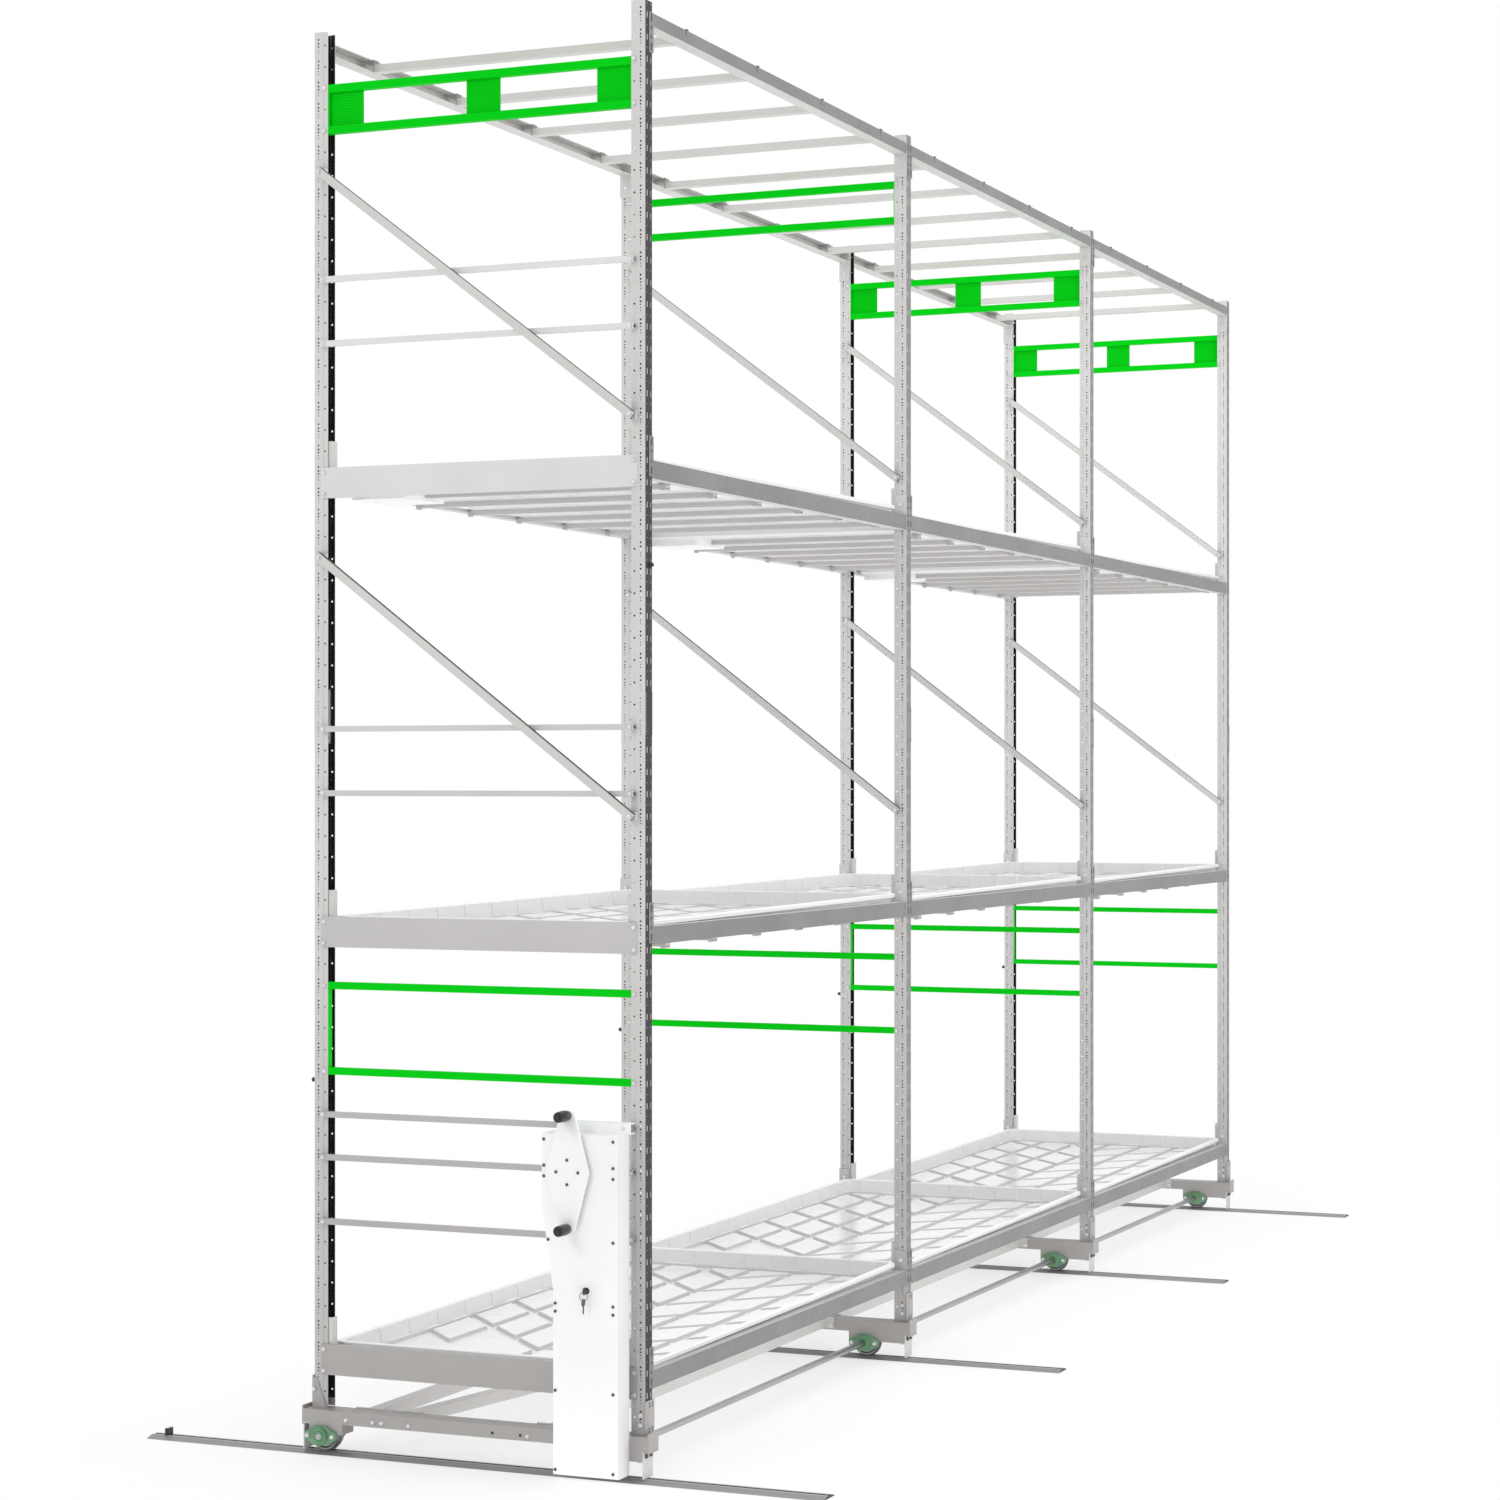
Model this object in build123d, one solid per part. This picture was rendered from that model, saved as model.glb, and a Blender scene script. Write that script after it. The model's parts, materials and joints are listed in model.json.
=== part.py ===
from build123d import *
import os
from math import atan2, cos, degrees, hypot, pi, sin

# Rolling grow rack, millimetres. X runs across the rack, along the floor rails. Y runs along
# the rack, from the crank end to the far end. Z is up. The origin lies on the floor under the
# middle of the front floor rail.

# Bays and frames: four frames of two posts, with a bay between each pair of frames
frame_count = 4
tray_end_space = 78.0

# Sides of the round pieces that don't turn in a close fit, and of bores round a shaft
wheel_sides = 16
boss_sides = 12
bore_sides = 8
small_sides = 8

# Floor rails
rail_length = 2610.0
rail_foot_width = 107.0
rail_top_width = 36.0
rail_height = 10.0
rail_groove_width = 12.0
rail_groove_depth = 5.5
stop_inset = 55.0
stop_thickness = 12.0
stop_width = 36.0
stop_height = 25.0

# Wheels, axles, drive shaft and their flanged bearings
tread_radius = 55.0
tread_width = 44.0
guide_radius = 59.5
guide_width = 8.0
wheel_gap = 0.3
shaft_radius = 12.5
running_gap = 0.05
drive_wheel_inset = 193.5
idle_wheel_inset = 75.5
axle_to_beam_top = 88.7
shaft_tail = 14.0
bearing_length = 127.0
bearing_height = 68.0
bearing_tip_height = 22.0
bearing_shoulder = 44.0
bearing_flange = 13.0
bearing_boss_radius = 30.0
bearing_boss_length = 15.0

# Base beams, their end plates and the housings that hold the wheels
beam_beyond_tray = 55.5
base_beam_width = 80.0
base_beam_height = 46.0
base_beam_wall = 4.0
end_plate_thickness = 4.0
end_plate_rise = 12.0
end_plate_drop = 9.0
housing_wall = 4.0
housing_height = 37.0
housing_lobe_drop = 20.0
housing_lobe_reach = 60.0
idle_housing_inset = 24.5
idle_housing_length = 132.0
drive_housing_inset = 19.5
drive_housing_length = 242.0

# Guards that hang at the ends of the base beams, just over the rails
guard_thickness = 4.0
guard_width = 76.0
guard_rail_gap = 3.0
guard_flange = 24.0

# Ties that join the base beams: two straight ones and one diagonal in each bay
tie_left_share = -0.3261
tie_right_share = 0.2066
tie_diagonal_start_share = -0.2194
tie_diagonal_end_share = 0.1014
tie_width = 50.0
tie_height = 40.0
tie_wall = 3.0
tie_plate_width = 128.0
tie_plate_thickness = 4.0
tie_plate_rise = 4.0

# Posts: folded sections in two lengths, joined by an inner sleeve, with a hole every 75 mm
post_beyond_tray = 31.0
post_width = 58.0
post_depth = 53.0
post_wall = 2.5
post_flange = 34.0
post_step = 3.0
post_length = 4830.0
post_splice_height = 2428.0
post_offset = 24.0
hole_pitch = 75.0
first_hole = 58.0
sleeve_length = 190.0
sleeve_wall = 3.0
sleeve_depth = 30.0
bolt_inset = 41.0

# Feet of the posts
foot_plate_thickness = 5.0
foot_plate_height = 114.0
foot_plate_width = 71.0
foot_gusset_height = 107.0
foot_gusset_base = 56.0
foot_gusset_top = 18.0

# Growing levels: they share out the holes of the posts, and heights are measured from a level's hole
lowest_level_hole = 1
level_share = 1 / 3
side_beam_drop = -15.0
side_beam_height = 61.0
side_beam_width = 43.0
side_beam_wall = 2.0
connector_height = 136.0
connector_lift = 6.0
connector_wall = 3.0
connector_under_tray = 17.0
connector_return_gap = 2.0
bar_count = 6
bar_pitch_share = 0.166
bar_height = 32.0
bar_width = 41.0
bar_wall = 2.0
bar_tongue = 9.0

# Growing trays
tray_length = 2440.0
tray_width = 1220.0
tray_wall = 4.0
tray_depth = 86.0
tray_lip_width = 16.0
tray_lip_height = 16.0
tray_wall_lean = 12.0
tray_floor_thickness = 15.0
tray_channel_depth = 12.0
tray_channel_width = 28.0
tray_channel_pitch = 190.0
tray_channel_inset = 20.0

# Top beams and the bars that carry the lamps
top_beam_rise = 12.0
top_beam_height = 44.0
top_beam_width = 52.0
top_beam_wall = 2.5
light_bar_count = 4
light_bar_height = 27.0
light_bar_width = 41.0
light_bar_wall = 2.0
hook_wall = 2.0
hook_reach = 30.0

# Fascias and braces of the frames
fascia_beyond_tray = 2.0
fascia_drop = 15.0
fascia_height = 107.0
fascia_wall = 2.0
fascia_flange = 14.0
fascia_flange_inset = 30.0
low_brace_holes = (8, 11, 13)
brace_holes_above_level = (7, 10)
brace_end_inset = 35.0
brace_height = 20.0
brace_depth = 20.0
brace_wall = 1.5
diagonal_start_below_top = 6
diagonal_start_below_level = 3
upper_diagonal_end_above_level = 3
lower_diagonal_end_above_level = 6
diagonal_width = 28.0
diagonal_depth = 20.0
diagonal_wall = 2.0
diagonal_overhang = 12.0

# Green stiffening frames held behind the front flanges of the posts
green_end_inset = 29.0
green_depth = 25.0
upper_green_below_top = 3
upper_green_height = 173.0
upper_green_bar = 28.0
green_plate_width = 131.0
green_plate_thickness = 3.0
green_plate_frames = (0, 2, 3)
green_plate_centre_x = 19.0
lower_green_holes_below_level = (6, 2)
lower_green_bar = 25.0

# Crank column
column_inset = 43.0
column_width = 287.0
column_low_width = 244.0
column_top = 1016.0
column_bend_top = 781.0
column_bend_low = 488.0
column_floor_gap = 24.0
column_front_y = -124.0
column_wall = 2.0
column_back_lift = 6.0
bracket_inset = 29.0
bracket_width = 272.0
bracket_height = 37.0
bracket_depth = 35.0
bracket_wall = 3.0

# Crank, chain and sprockets
crank_inset = 224.0
crank_height = 890.0
crank_gap = 12.0
crank_half_height = 206.0
crank_half_width = 81.0
crank_tip_half_width = 24.0
crank_plate_thickness = 9.0
crank_shaft_radius = 10.0
crank_hub_radius = 26.0
crank_hub_gap = 1.0
grip_offset = 190.0
grip_radius = 19.5
grip_waist_radius = 16.5
grip_length = 70.0
grip_gap = 0.3
grip_pin_radius = 6.0
grip_pin_head_radius = 10.0
grip_pin_head_height = 4.0
chain_pitch = 9.525
chain_height = 8.0
chain_plate_thickness = 1.5
chain_side_gap = 0.3
chain_plane_y = -91.0
sprocket_width = 5.0
crank_teeth = 12
shaft_teeth = 24
tooth_height = 3.0
bush_radius = 17.0
bush_length = 10.0

# Lock of the crank and its keys
lock_inset = 162.0
lock_height = 494.0
lock_radius = 12.0
lock_length = 26.0
lock_rim = 3.0
plug_radius = 6.0
key_gap = 0.3
key_blade_length = 18.0
key_bow_radius = 13.0
key_thickness = 2.5
key_hole_radius = 4.0
key_shank_width = 7.0
key_shank_length = 30.0
ring_radius = 14.0
ring_wire_radius = 1.2
ring_play = 0.5

# Heights and places that follow from the sizes above
bay_pitch = tray_length + tray_end_space
bar_pitch = bar_pitch_share * tray_length
light_bar_pitch = bay_pitch / light_bar_count
base_beam_length = tray_width + 2 * beam_beyond_tray
beam_end_x = base_beam_length / 2
drive_wheel_x = beam_end_x - drive_wheel_inset
idle_wheel_x = idle_wheel_inset - beam_end_x
idle_housing_outer_x = idle_housing_inset - beam_end_x
idle_housing_inner_x = idle_housing_outer_x + idle_housing_length
drive_housing_outer_x = beam_end_x - drive_housing_inset
drive_housing_inner_x = drive_housing_outer_x - drive_housing_length
tie_left_x = tie_left_share * base_beam_length
tie_right_x = tie_right_share * base_beam_length
tie_diagonal_start_x = tie_diagonal_start_share * base_beam_length
tie_diagonal_end_x = tie_diagonal_end_share * base_beam_length
post_outer_x = tray_width / 2 + post_beyond_tray
connector_inner_x = tray_width / 2 - connector_under_tray
fascia_half_length = tray_width / 2 + fascia_beyond_tray
brace_half_length = post_outer_x - brace_end_inset
green_half_length = post_outer_x - green_end_inset
column_right_x = post_outer_x - column_inset
column_left_x = column_right_x - column_width
column_left_low_x = column_right_x - column_low_width
bracket_right_x = post_outer_x - bracket_inset
bracket_left_x = bracket_right_x - bracket_width
crank_x = post_outer_x - crank_inset
lock_x = post_outer_x - lock_inset
axle_height = rail_height + wheel_gap + tread_radius
base_top = axle_height + axle_to_beam_top
base_bottom = base_top - base_beam_height
half_beam = base_beam_width / 2
post_front = post_offset - post_width / 2
post_back = post_offset + post_width / 2
bolt_x = post_outer_x - bolt_inset
rack_length = (frame_count - 1) * bay_pitch
splice_z = base_top + post_splice_height
side_beam_inner_x = post_outer_x - side_beam_width
top_beam_inner_x = post_outer_x - top_beam_width
brace_front = post_front - brace_depth
column_back_y = -half_beam
crank_z = base_top + crank_height
lock_z = base_top + lock_height
crank_plate_back = column_front_y - crank_gap
crank_plate_front = crank_plate_back - crank_plate_thickness
housing_bottom = base_bottom - housing_height
green_front = post_front + post_step + post_wall

# Holes of the posts that the levels, braces and green frames are bolted to
top_hole = int((post_length - first_hole) / hole_pitch)
upper_hole = round(2 * level_share * top_hole)
middle_hole = round(level_share * top_hole)
level_holes = {"lower": lowest_level_hole, "middle": middle_hole, "upper": upper_hole}
middle_brace_holes = tuple(middle_hole + rise for rise in brace_holes_above_level)
upper_brace_holes = tuple(upper_hole + rise for rise in brace_holes_above_level)
brace_holes = low_brace_holes + middle_brace_holes + upper_brace_holes
upper_diagonal = (top_hole - diagonal_start_below_top, upper_hole + upper_diagonal_end_above_level)
lower_diagonal = (upper_hole - diagonal_start_below_level, middle_hole + lower_diagonal_end_above_level)
diagonal_holes = (upper_diagonal, lower_diagonal)
upper_green_hole = top_hole - upper_green_below_top
lower_green_holes = tuple(middle_hole - drop for drop in lower_green_holes_below_level)


def hole_z(number):
    """Height of a bolt hole of the posts, counted from the lowest."""
    return base_top + first_hole + number * hole_pitch


def frame_y(index):
    """Centre of a frame's rail, base beam and wheels."""
    return index * bay_pitch


def bay_centre(index):
    """Middle of a bay, between the posts of its two frames."""
    return frame_y(index) + bay_pitch / 2 + post_offset


def along_x(x, y=0.0, z=0.0):
    """Plane for a section drawn in Y and Z and drawn out towards +X."""
    return Plane(origin=(x, y, z), x_dir=(0, 1, 0), z_dir=(1, 0, 0))


def along_y(y, x=0.0, z=0.0):
    """Plane for a section drawn in X and Z; its pieces are drawn out towards +Y."""
    return Plane(origin=(x, y, z), x_dir=(1, 0, 0), z_dir=(0, -1, 0))


def along_z(z, x=0.0, y=0.0):
    """Plane for a section drawn in X and Y and drawn out upwards."""
    return Plane(origin=(x, y, z), x_dir=(1, 0, 0), z_dir=(0, 0, 1))


def polygon(points):
    """Face inside a closed outline."""
    return make_face(Polyline(*points, close=True))


def draw_out(face, plane, length):
    """Solid of a face set on a plane, drawn out along the axis the plane is named after."""
    direction = plane.z_dir if plane.z_dir.Y == 0 else -plane.z_dir
    return extrude(plane * face, amount=length, dir=direction)


def block(low_x, high_x, low_y, high_y, low_z, high_z):
    """Rectangular bar between two corners."""
    middle = ((low_x + high_x) / 2, (low_y + high_y) / 2, (low_z + high_z) / 2)
    return Pos(*middle) * Box(abs(high_x - low_x), abs(high_y - low_y), abs(high_z - low_z))


def round_bar(x, z, low_y, high_y, radius):
    """Round bar that lies along Y."""
    return draw_out(Circle(radius), along_y(low_y, x, z), high_y - low_y)


def faceted(radius, sides):
    """Regular outline whose corners lie on a circle."""
    return RegularPolygon(radius, sides)


def faceted_bore(radius):
    """Regular outline whose flats lie round a circle, so that a round shaft of that radius runs in it."""
    return RegularPolygon(radius, bore_sides, major_radius=False)


def faceted_bar(x, z, low_y, high_y, radius, sides):
    """Many-sided bar that lies along Y."""
    return draw_out(faceted(radius, sides), along_y(low_y, x, z), high_y - low_y)


def folded_sheet(path, wall):
    """Outline of a folded sheet: an open path, and the same path moved to its left by the wall."""
    corners = [Vector(*point) for point in path]
    runs = [(end - start).normalized() for start, end in zip(corners, corners[1:])]
    lefts = [Vector(-run.Y, run.X) for run in runs]
    inside = [corners[0] + lefts[0] * wall]
    for corner, left_in, left_out in zip(corners[1:-1], lefts, lefts[1:]):
        inside.append(corner + (left_in + left_out) * (wall / (1 + left_in.dot(left_out))))
    inside.append(corners[-1] + lefts[-1] * wall)
    return [(point.X, point.Y) for point in corners + inside[::-1]]


def on_side(outline, side):
    """An outline of the right side of the rack, or its mirror image for the left side."""
    return [(side * x, other) for x, other in outline]


def at_frames(pieces):
    """Copies of the first frame's pieces on every frame."""
    return [Pos(0, frame_y(index), 0) * piece for index in range(frame_count) for piece in pieces]


def in_bays(pieces):
    """Copies of the first bay's pieces in every bay."""
    return [Pos(0, frame_y(index), 0) * piece for index in range(frame_count - 1) for piece in pieces]


def write(name, pieces):
    """Write one node: every piece of it is a solid of its own."""
    export_step(Compound(label=name, children=list(pieces)), f"parts/{name}.step")


# Floor rails and their end stops


def make_floor_rail():
    foot = rail_foot_width / 2
    top = rail_top_width / 2
    groove = rail_groove_width / 2
    groove_floor = rail_height - rail_groove_depth
    half = [(groove, groove_floor), (groove, rail_height), (top, rail_height), (foot, 0)]
    outline = half + [(-y, z) for y, z in reversed(half)]
    return draw_out(polygon(outline), along_x(-rail_length / 2), rail_length)


def make_rail_stop():
    start = -rail_length / 2 + stop_inset
    half = stop_width / 2
    return block(start, start + stop_thickness, -half, half, rail_height, rail_height + stop_height)


# Wheels, shafts and bearings


def make_wheel(x):
    """Wheel with a narrow guide rib round its middle."""
    half = tread_width / 2
    rim = guide_width / 2
    tread = faceted_bar(x, axle_height, -half, half, tread_radius, wheel_sides)
    guide = faceted_bar(x, axle_height, -rim, rim, guide_radius, wheel_sides)
    bore = draw_out(faceted_bore(shaft_radius + running_gap), along_y(-half, x, axle_height), tread_width)
    return tread + guide - bore


def make_idle_axle():
    front = -half_beam - bearing_flange - bearing_boss_length
    return round_bar(idle_wheel_x, axle_height, front, half_beam + shaft_tail, shaft_radius)


def make_drive_shaft():
    start = chain_plane_y - sprocket_width
    end = rack_length + half_beam + shaft_tail
    return round_bar(drive_wheel_x, axle_height, start, end, shaft_radius)


def make_bearing(x):
    tip = bearing_length / 2
    tip_rise = bearing_tip_height / 2
    shoulder = bearing_shoulder / 2
    rise = bearing_height / 2
    quarter = [(tip, tip_rise), (shoulder, rise)]
    outline = quarter + [(-a, b) for a, b in reversed(quarter)]
    outline += [(-a, -b) for a, b in quarter] + [(a, -b) for a, b in reversed(quarter)]
    face = -half_beam
    flange = draw_out(polygon(outline), along_y(face - bearing_flange, x, axle_height), bearing_flange)
    nose = face - bearing_flange - bearing_boss_length
    boss = faceted_bar(x, axle_height, nose, face, bearing_boss_radius, boss_sides)
    bore = draw_out(faceted_bore(shaft_radius + running_gap), along_y(nose, x, axle_height), face - nose)
    return flange + boss - bore


# Base beams, end plates, wheel housings, guards and ties


def make_base_beam():
    """Channel that is open below, where the tops of the wheels run inside it."""
    path = [(half_beam, base_bottom), (half_beam, base_top), (-half_beam, base_top), (-half_beam, base_bottom)]
    return draw_out(polygon(folded_sheet(path, base_beam_wall)), along_x(-beam_end_x), base_beam_length)


def make_end_plate(side):
    near = side * beam_end_x
    far = near + side * end_plate_thickness
    return block(near, far, -half_beam, half_beam, base_bottom - end_plate_drop, base_top + end_plate_rise)


def make_housing(axle_x, low_x, high_x):
    """Two plates under the walls of a base beam, joined by a web at their right end."""
    lobe_low = max(low_x, axle_x - housing_lobe_reach)
    lobe_high = axle_x + housing_lobe_reach
    lobe_bottom = axle_height - housing_lobe_drop
    outline = [(low_x, base_bottom), (low_x, lobe_bottom), (lobe_high - housing_lobe_drop, lobe_bottom)]
    outline += [(lobe_high, housing_bottom), (high_x, housing_bottom), (high_x, base_bottom)]
    if lobe_low > low_x:
        outline[1:2] = [(low_x, housing_bottom), (lobe_low, lobe_bottom)]
    hole = faceted_bore(shaft_radius + running_gap)
    plate = polygon(outline) - Pos(axle_x, axle_height) * hole
    front = draw_out(plate, along_y(-half_beam), housing_wall)
    back = draw_out(plate, along_y(half_beam - housing_wall), housing_wall)
    web = block(high_x - housing_wall, high_x, -half_beam, half_beam, housing_bottom, base_bottom)
    return front + back + web


def make_guard(side, outer, shelf_top, leg_top):
    """Angle that hangs at an end of a base beam; its long leg ends just over the rail."""
    bottom = rail_height + guard_rail_gap
    half = guard_width / 2
    inner = outer - guard_thickness
    shelf_end = outer - guard_flange
    shelf_bottom = shelf_top - guard_thickness
    outline = [(outer, bottom), (outer, leg_top), (inner, leg_top), (inner, shelf_top)]
    outline += [(shelf_end, shelf_top), (shelf_end, shelf_bottom), (inner, shelf_bottom), (inner, bottom)]
    if leg_top == shelf_top:
        del outline[2:4]
    return draw_out(polygon(on_side(outline, side)), along_y(-half), guard_width)


def make_tie(start_x, end_x):
    """Channel between two base beams, with a plate at each end."""
    start_y = half_beam
    end_y = bay_pitch - half_beam
    length = hypot(end_x - start_x, end_y - start_y)
    lean = degrees(atan2(end_x - start_x, end_y - start_y))
    middle_z = base_top - tie_height / 2
    half_width = tie_width / 2
    half_height = tie_height / 2
    path = [(-half_width, -half_height), (half_width, -half_height)]
    path += [(half_width, half_height), (-half_width, half_height)]
    section = polygon(folded_sheet(path, tie_wall))
    tube = draw_out(section, along_y(-tie_width, 0, middle_z), length + 2 * tie_width)
    tube = Pos(start_x, start_y, 0) * Rot(0, 0, -lean) * tube
    span = end_y - start_y - 2 * tie_plate_thickness
    reach = abs(end_x - start_x) + 2 * tie_width
    keep_low = min(start_x, end_x) - reach
    keep_high = max(start_x, end_x) + reach
    keep_y = start_y + tie_plate_thickness
    tube = tube & block(keep_low, keep_high, keep_y, keep_y + span, base_top - 2 * tie_height, base_top)
    half_plate = tie_plate_width / 2
    plate_bottom = base_top - tie_height
    plate_top = base_top + tie_plate_rise
    front = block(start_x - half_plate, start_x + half_plate, start_y, keep_y, plate_bottom, plate_top)
    back = block(end_x - half_plate, end_x + half_plate, keep_y + span, end_y, plate_bottom, plate_top)
    return tube + front + back


# Posts, sleeves and feet


def post_outline():
    """Section of a right post in X and Y: a web outside, and two stepped flanges that point inwards."""
    half = post_width / 2
    lip = half - post_step
    bend = post_outer_x - post_flange
    inner = post_outer_x - post_depth
    path = [(inner, lip), (bend - post_step, lip), (bend, half), (post_outer_x, half)]
    path += [(x, -y) for x, y in reversed(path)]
    return folded_sheet(path, -post_wall)


def make_post(side, foot, length):
    section = polygon(on_side(post_outline(), side))
    return draw_out(section, along_z(foot, 0, post_offset), length)


def make_sleeve(side):
    outer = post_outer_x - post_wall
    half = post_width / 2 - post_wall
    path = [(outer - sleeve_depth, half), (outer, half), (outer, -half), (outer - sleeve_depth, -half)]
    section = polygon(on_side(folded_sheet(path, -sleeve_wall), side))
    return draw_out(section, along_z(splice_z - sleeve_length / 2, 0, post_offset), sleeve_length)


def make_foot(side):
    """Plate on the web of a post, with a gusset across the front of a left post or the back of a right one."""
    outer = post_outer_x + foot_plate_thickness
    low_y = post_front - foot_plate_thickness
    high_y = low_y + foot_plate_width
    if side > 0:
        high_y = post_back + foot_plate_thickness
        low_y = high_y - foot_plate_width
    plate = block(side * post_outer_x, side * outer, low_y, high_y, base_top, base_top + foot_plate_height)
    gusset_y = low_y if side < 0 else high_y - foot_plate_thickness
    base_x = outer - foot_gusset_base
    top_x = outer - foot_gusset_top
    gusset_top = base_top + foot_gusset_height
    outline = [(outer, base_top), (outer, gusset_top), (top_x, gusset_top), (base_x, base_top)]
    gusset = draw_out(polygon(on_side(outline, side)), along_y(gusset_y), foot_plate_thickness)
    return plate + gusset


# Side beams, top beams and the connectors that hook them on the posts


def make_connector(side, bottom, at_start):
    """Angle at one end of a beam: one leg on the face of the post, one round its web."""
    outer = post_outer_x + connector_wall
    face = post_back if at_start else bay_pitch + post_front
    forward = 1 if at_start else -1
    centre = post_offset if at_start else bay_pitch + post_offset
    leg = face + forward * connector_wall
    back = centre + forward * connector_return_gap
    outline = [(connector_inner_x, face), (connector_inner_x, leg), (outer, leg), (outer, back)]
    outline += [(post_outer_x, back), (post_outer_x, face)]
    return draw_out(polygon(on_side(outline, side)), along_z(bottom), connector_height)


def make_connectors(bottom):
    return [make_connector(side, bottom, at_start) for side in (-1, 1) for at_start in (True, False)]


def beam_span():
    """Start and end of a beam between the connectors of the first bay."""
    return post_back + connector_wall, bay_pitch + post_front - connector_wall


def make_side_beam(side, bottom):
    start, end = beam_span()
    middle = side * (post_outer_x - side_beam_width / 2)
    outer = Rectangle(side_beam_width, side_beam_height)
    inner = Rectangle(side_beam_width - 2 * side_beam_wall, side_beam_height - 2 * side_beam_wall)
    plane = along_y(start, middle, bottom + side_beam_height / 2)
    return draw_out(outer - inner, plane, end - start)


def make_top_beam(side):
    start, end = beam_span()
    top = hole_z(top_hole) + top_beam_rise
    bottom = top - top_beam_height
    path = [(top_beam_inner_x, bottom), (post_outer_x, bottom), (post_outer_x, top), (top_beam_inner_x, top)]
    section = polygon(on_side(folded_sheet(path, top_beam_wall), side))
    return draw_out(section, along_y(start), end - start)


# Cross bars, trays, light bars and hooks


def channel_section(width, height, wall):
    """Channel that opens towards +Y, from its bottom face up."""
    half = width / 2
    path = [(half, 0), (-half, 0), (-half, height), (half, height)]
    return polygon(folded_sheet([(y, z) for y, z in path], -wall))


def make_cross_bars(beam_bottom):
    """Bars between the side beams; their tops stand a little above the beams' bottoms."""
    section = channel_section(bar_width, bar_height, bar_wall)
    bottom = beam_bottom + bar_tongue - bar_height
    bars = []
    for index in range(bar_count):
        y = bay_centre(0) + (index - (bar_count - 1) / 2) * bar_pitch
        bars.append(draw_out(section, along_x(-side_beam_inner_x, y, bottom), 2 * side_beam_inner_x))
    return bars


def make_tray(beam_bottom):
    """Shallow basin that rests on the cross bars, with drain channels along its floor."""
    bottom = beam_bottom + bar_tongue
    rim = bottom + tray_depth
    half_x = tray_width / 2 - tray_lip_width
    half_y = tray_length / 2 - tray_lip_width
    lean = tray_wall_lean
    centre = Pos(0, bay_centre(0), 0)
    outer = loft([
        centre * Pos(0, 0, bottom) * Rectangle(2 * (half_x - lean), 2 * (half_y - lean)),
        centre * Pos(0, 0, rim) * Rectangle(2 * half_x, 2 * half_y),
    ])
    shell = tray_wall
    floor = bottom + tray_floor_thickness
    floor_lean = lean * (1 - tray_floor_thickness / tray_depth) + shell
    inner = loft([
        centre * Pos(0, 0, floor) * Rectangle(2 * (half_x - floor_lean), 2 * (half_y - floor_lean)),
        centre * Pos(0, 0, rim) * Rectangle(2 * (half_x - shell), 2 * (half_y - shell)),
    ])
    lip_outer = Rectangle(tray_width, tray_length)
    lip_under = Rectangle(tray_width - 2 * shell, tray_length - 2 * shell)
    lip = extrude(centre * Pos(0, 0, rim - tray_lip_height) * lip_outer, amount=tray_lip_height)
    lip -= extrude(centre * Pos(0, 0, rim - tray_lip_height) * lip_under, amount=tray_lip_height - shell)
    mouth = Rectangle(2 * (half_x - shell), 2 * (half_y - shell))
    lip -= extrude(centre * Pos(0, 0, rim - shell) * mouth, amount=shell)
    tray = (outer - inner) + lip
    channel_length = 2 * (half_y - floor_lean - tray_channel_inset)
    channel_count = int(half_x / tray_channel_pitch)
    for index in range(1 - channel_count, channel_count):
        channel = Box(tray_channel_width, channel_length, 2 * tray_channel_depth)
        tray -= centre * Pos(index * tray_channel_pitch, 0, floor) * channel
    return tray


def make_light_bars():
    section = channel_section(light_bar_width, light_bar_height, light_bar_wall)
    bottom = hole_z(top_hole) + top_beam_rise - top_beam_height
    end = top_beam_inner_x - hook_wall
    return [draw_out(section, along_x(-end, y, bottom), 2 * end) for y in light_bar_places()]


def light_bar_places():
    middle = (light_bar_count - 1) / 2
    return [bay_centre(0) + (index - middle) * light_bar_pitch for index in range(light_bar_count)]


def make_light_bar_hooks():
    """Plates that hang the light bars from the tops of the top beams."""
    top = hole_z(top_hole) + top_beam_rise
    bottom = top - top_beam_height
    inner = top_beam_inner_x - hook_wall
    outline = [(inner, bottom), (top_beam_inner_x, bottom), (top_beam_inner_x, top)]
    outline += [(top_beam_inner_x + hook_reach, top), (top_beam_inner_x + hook_reach, top + hook_wall)]
    outline += [(inner, top + hook_wall)]
    hooks = []
    for y in light_bar_places():
        for side in (-1, 1):
            plane = along_y(y - light_bar_width / 2)
            hooks.append(draw_out(polygon(on_side(outline, side)), plane, light_bar_width))
    return hooks


# Fascias, braces and green frames


def make_fascia(hole):
    bottom = hole_z(hole) - fascia_drop
    top = bottom + fascia_height
    front = post_front - fascia_wall
    panel = block(-fascia_half_length, fascia_half_length, front, post_front, bottom, top)
    inset = fascia_half_length - fascia_flange_inset
    for low in (bottom, top - fascia_wall):
        panel += block(-inset, inset, front, post_front + fascia_flange, low, low + fascia_wall)
    return panel


def make_brace(hole):
    """Channel across the front of the first frame, open towards the posts."""
    half = brace_height / 2
    path = [(0, -half), (-brace_depth, -half), (-brace_depth, half), (0, half)]
    section = polygon(folded_sheet(path, -brace_wall))
    plane = along_x(-brace_half_length, post_front, hole_z(hole))
    return draw_out(section, plane, 2 * brace_half_length)


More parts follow.
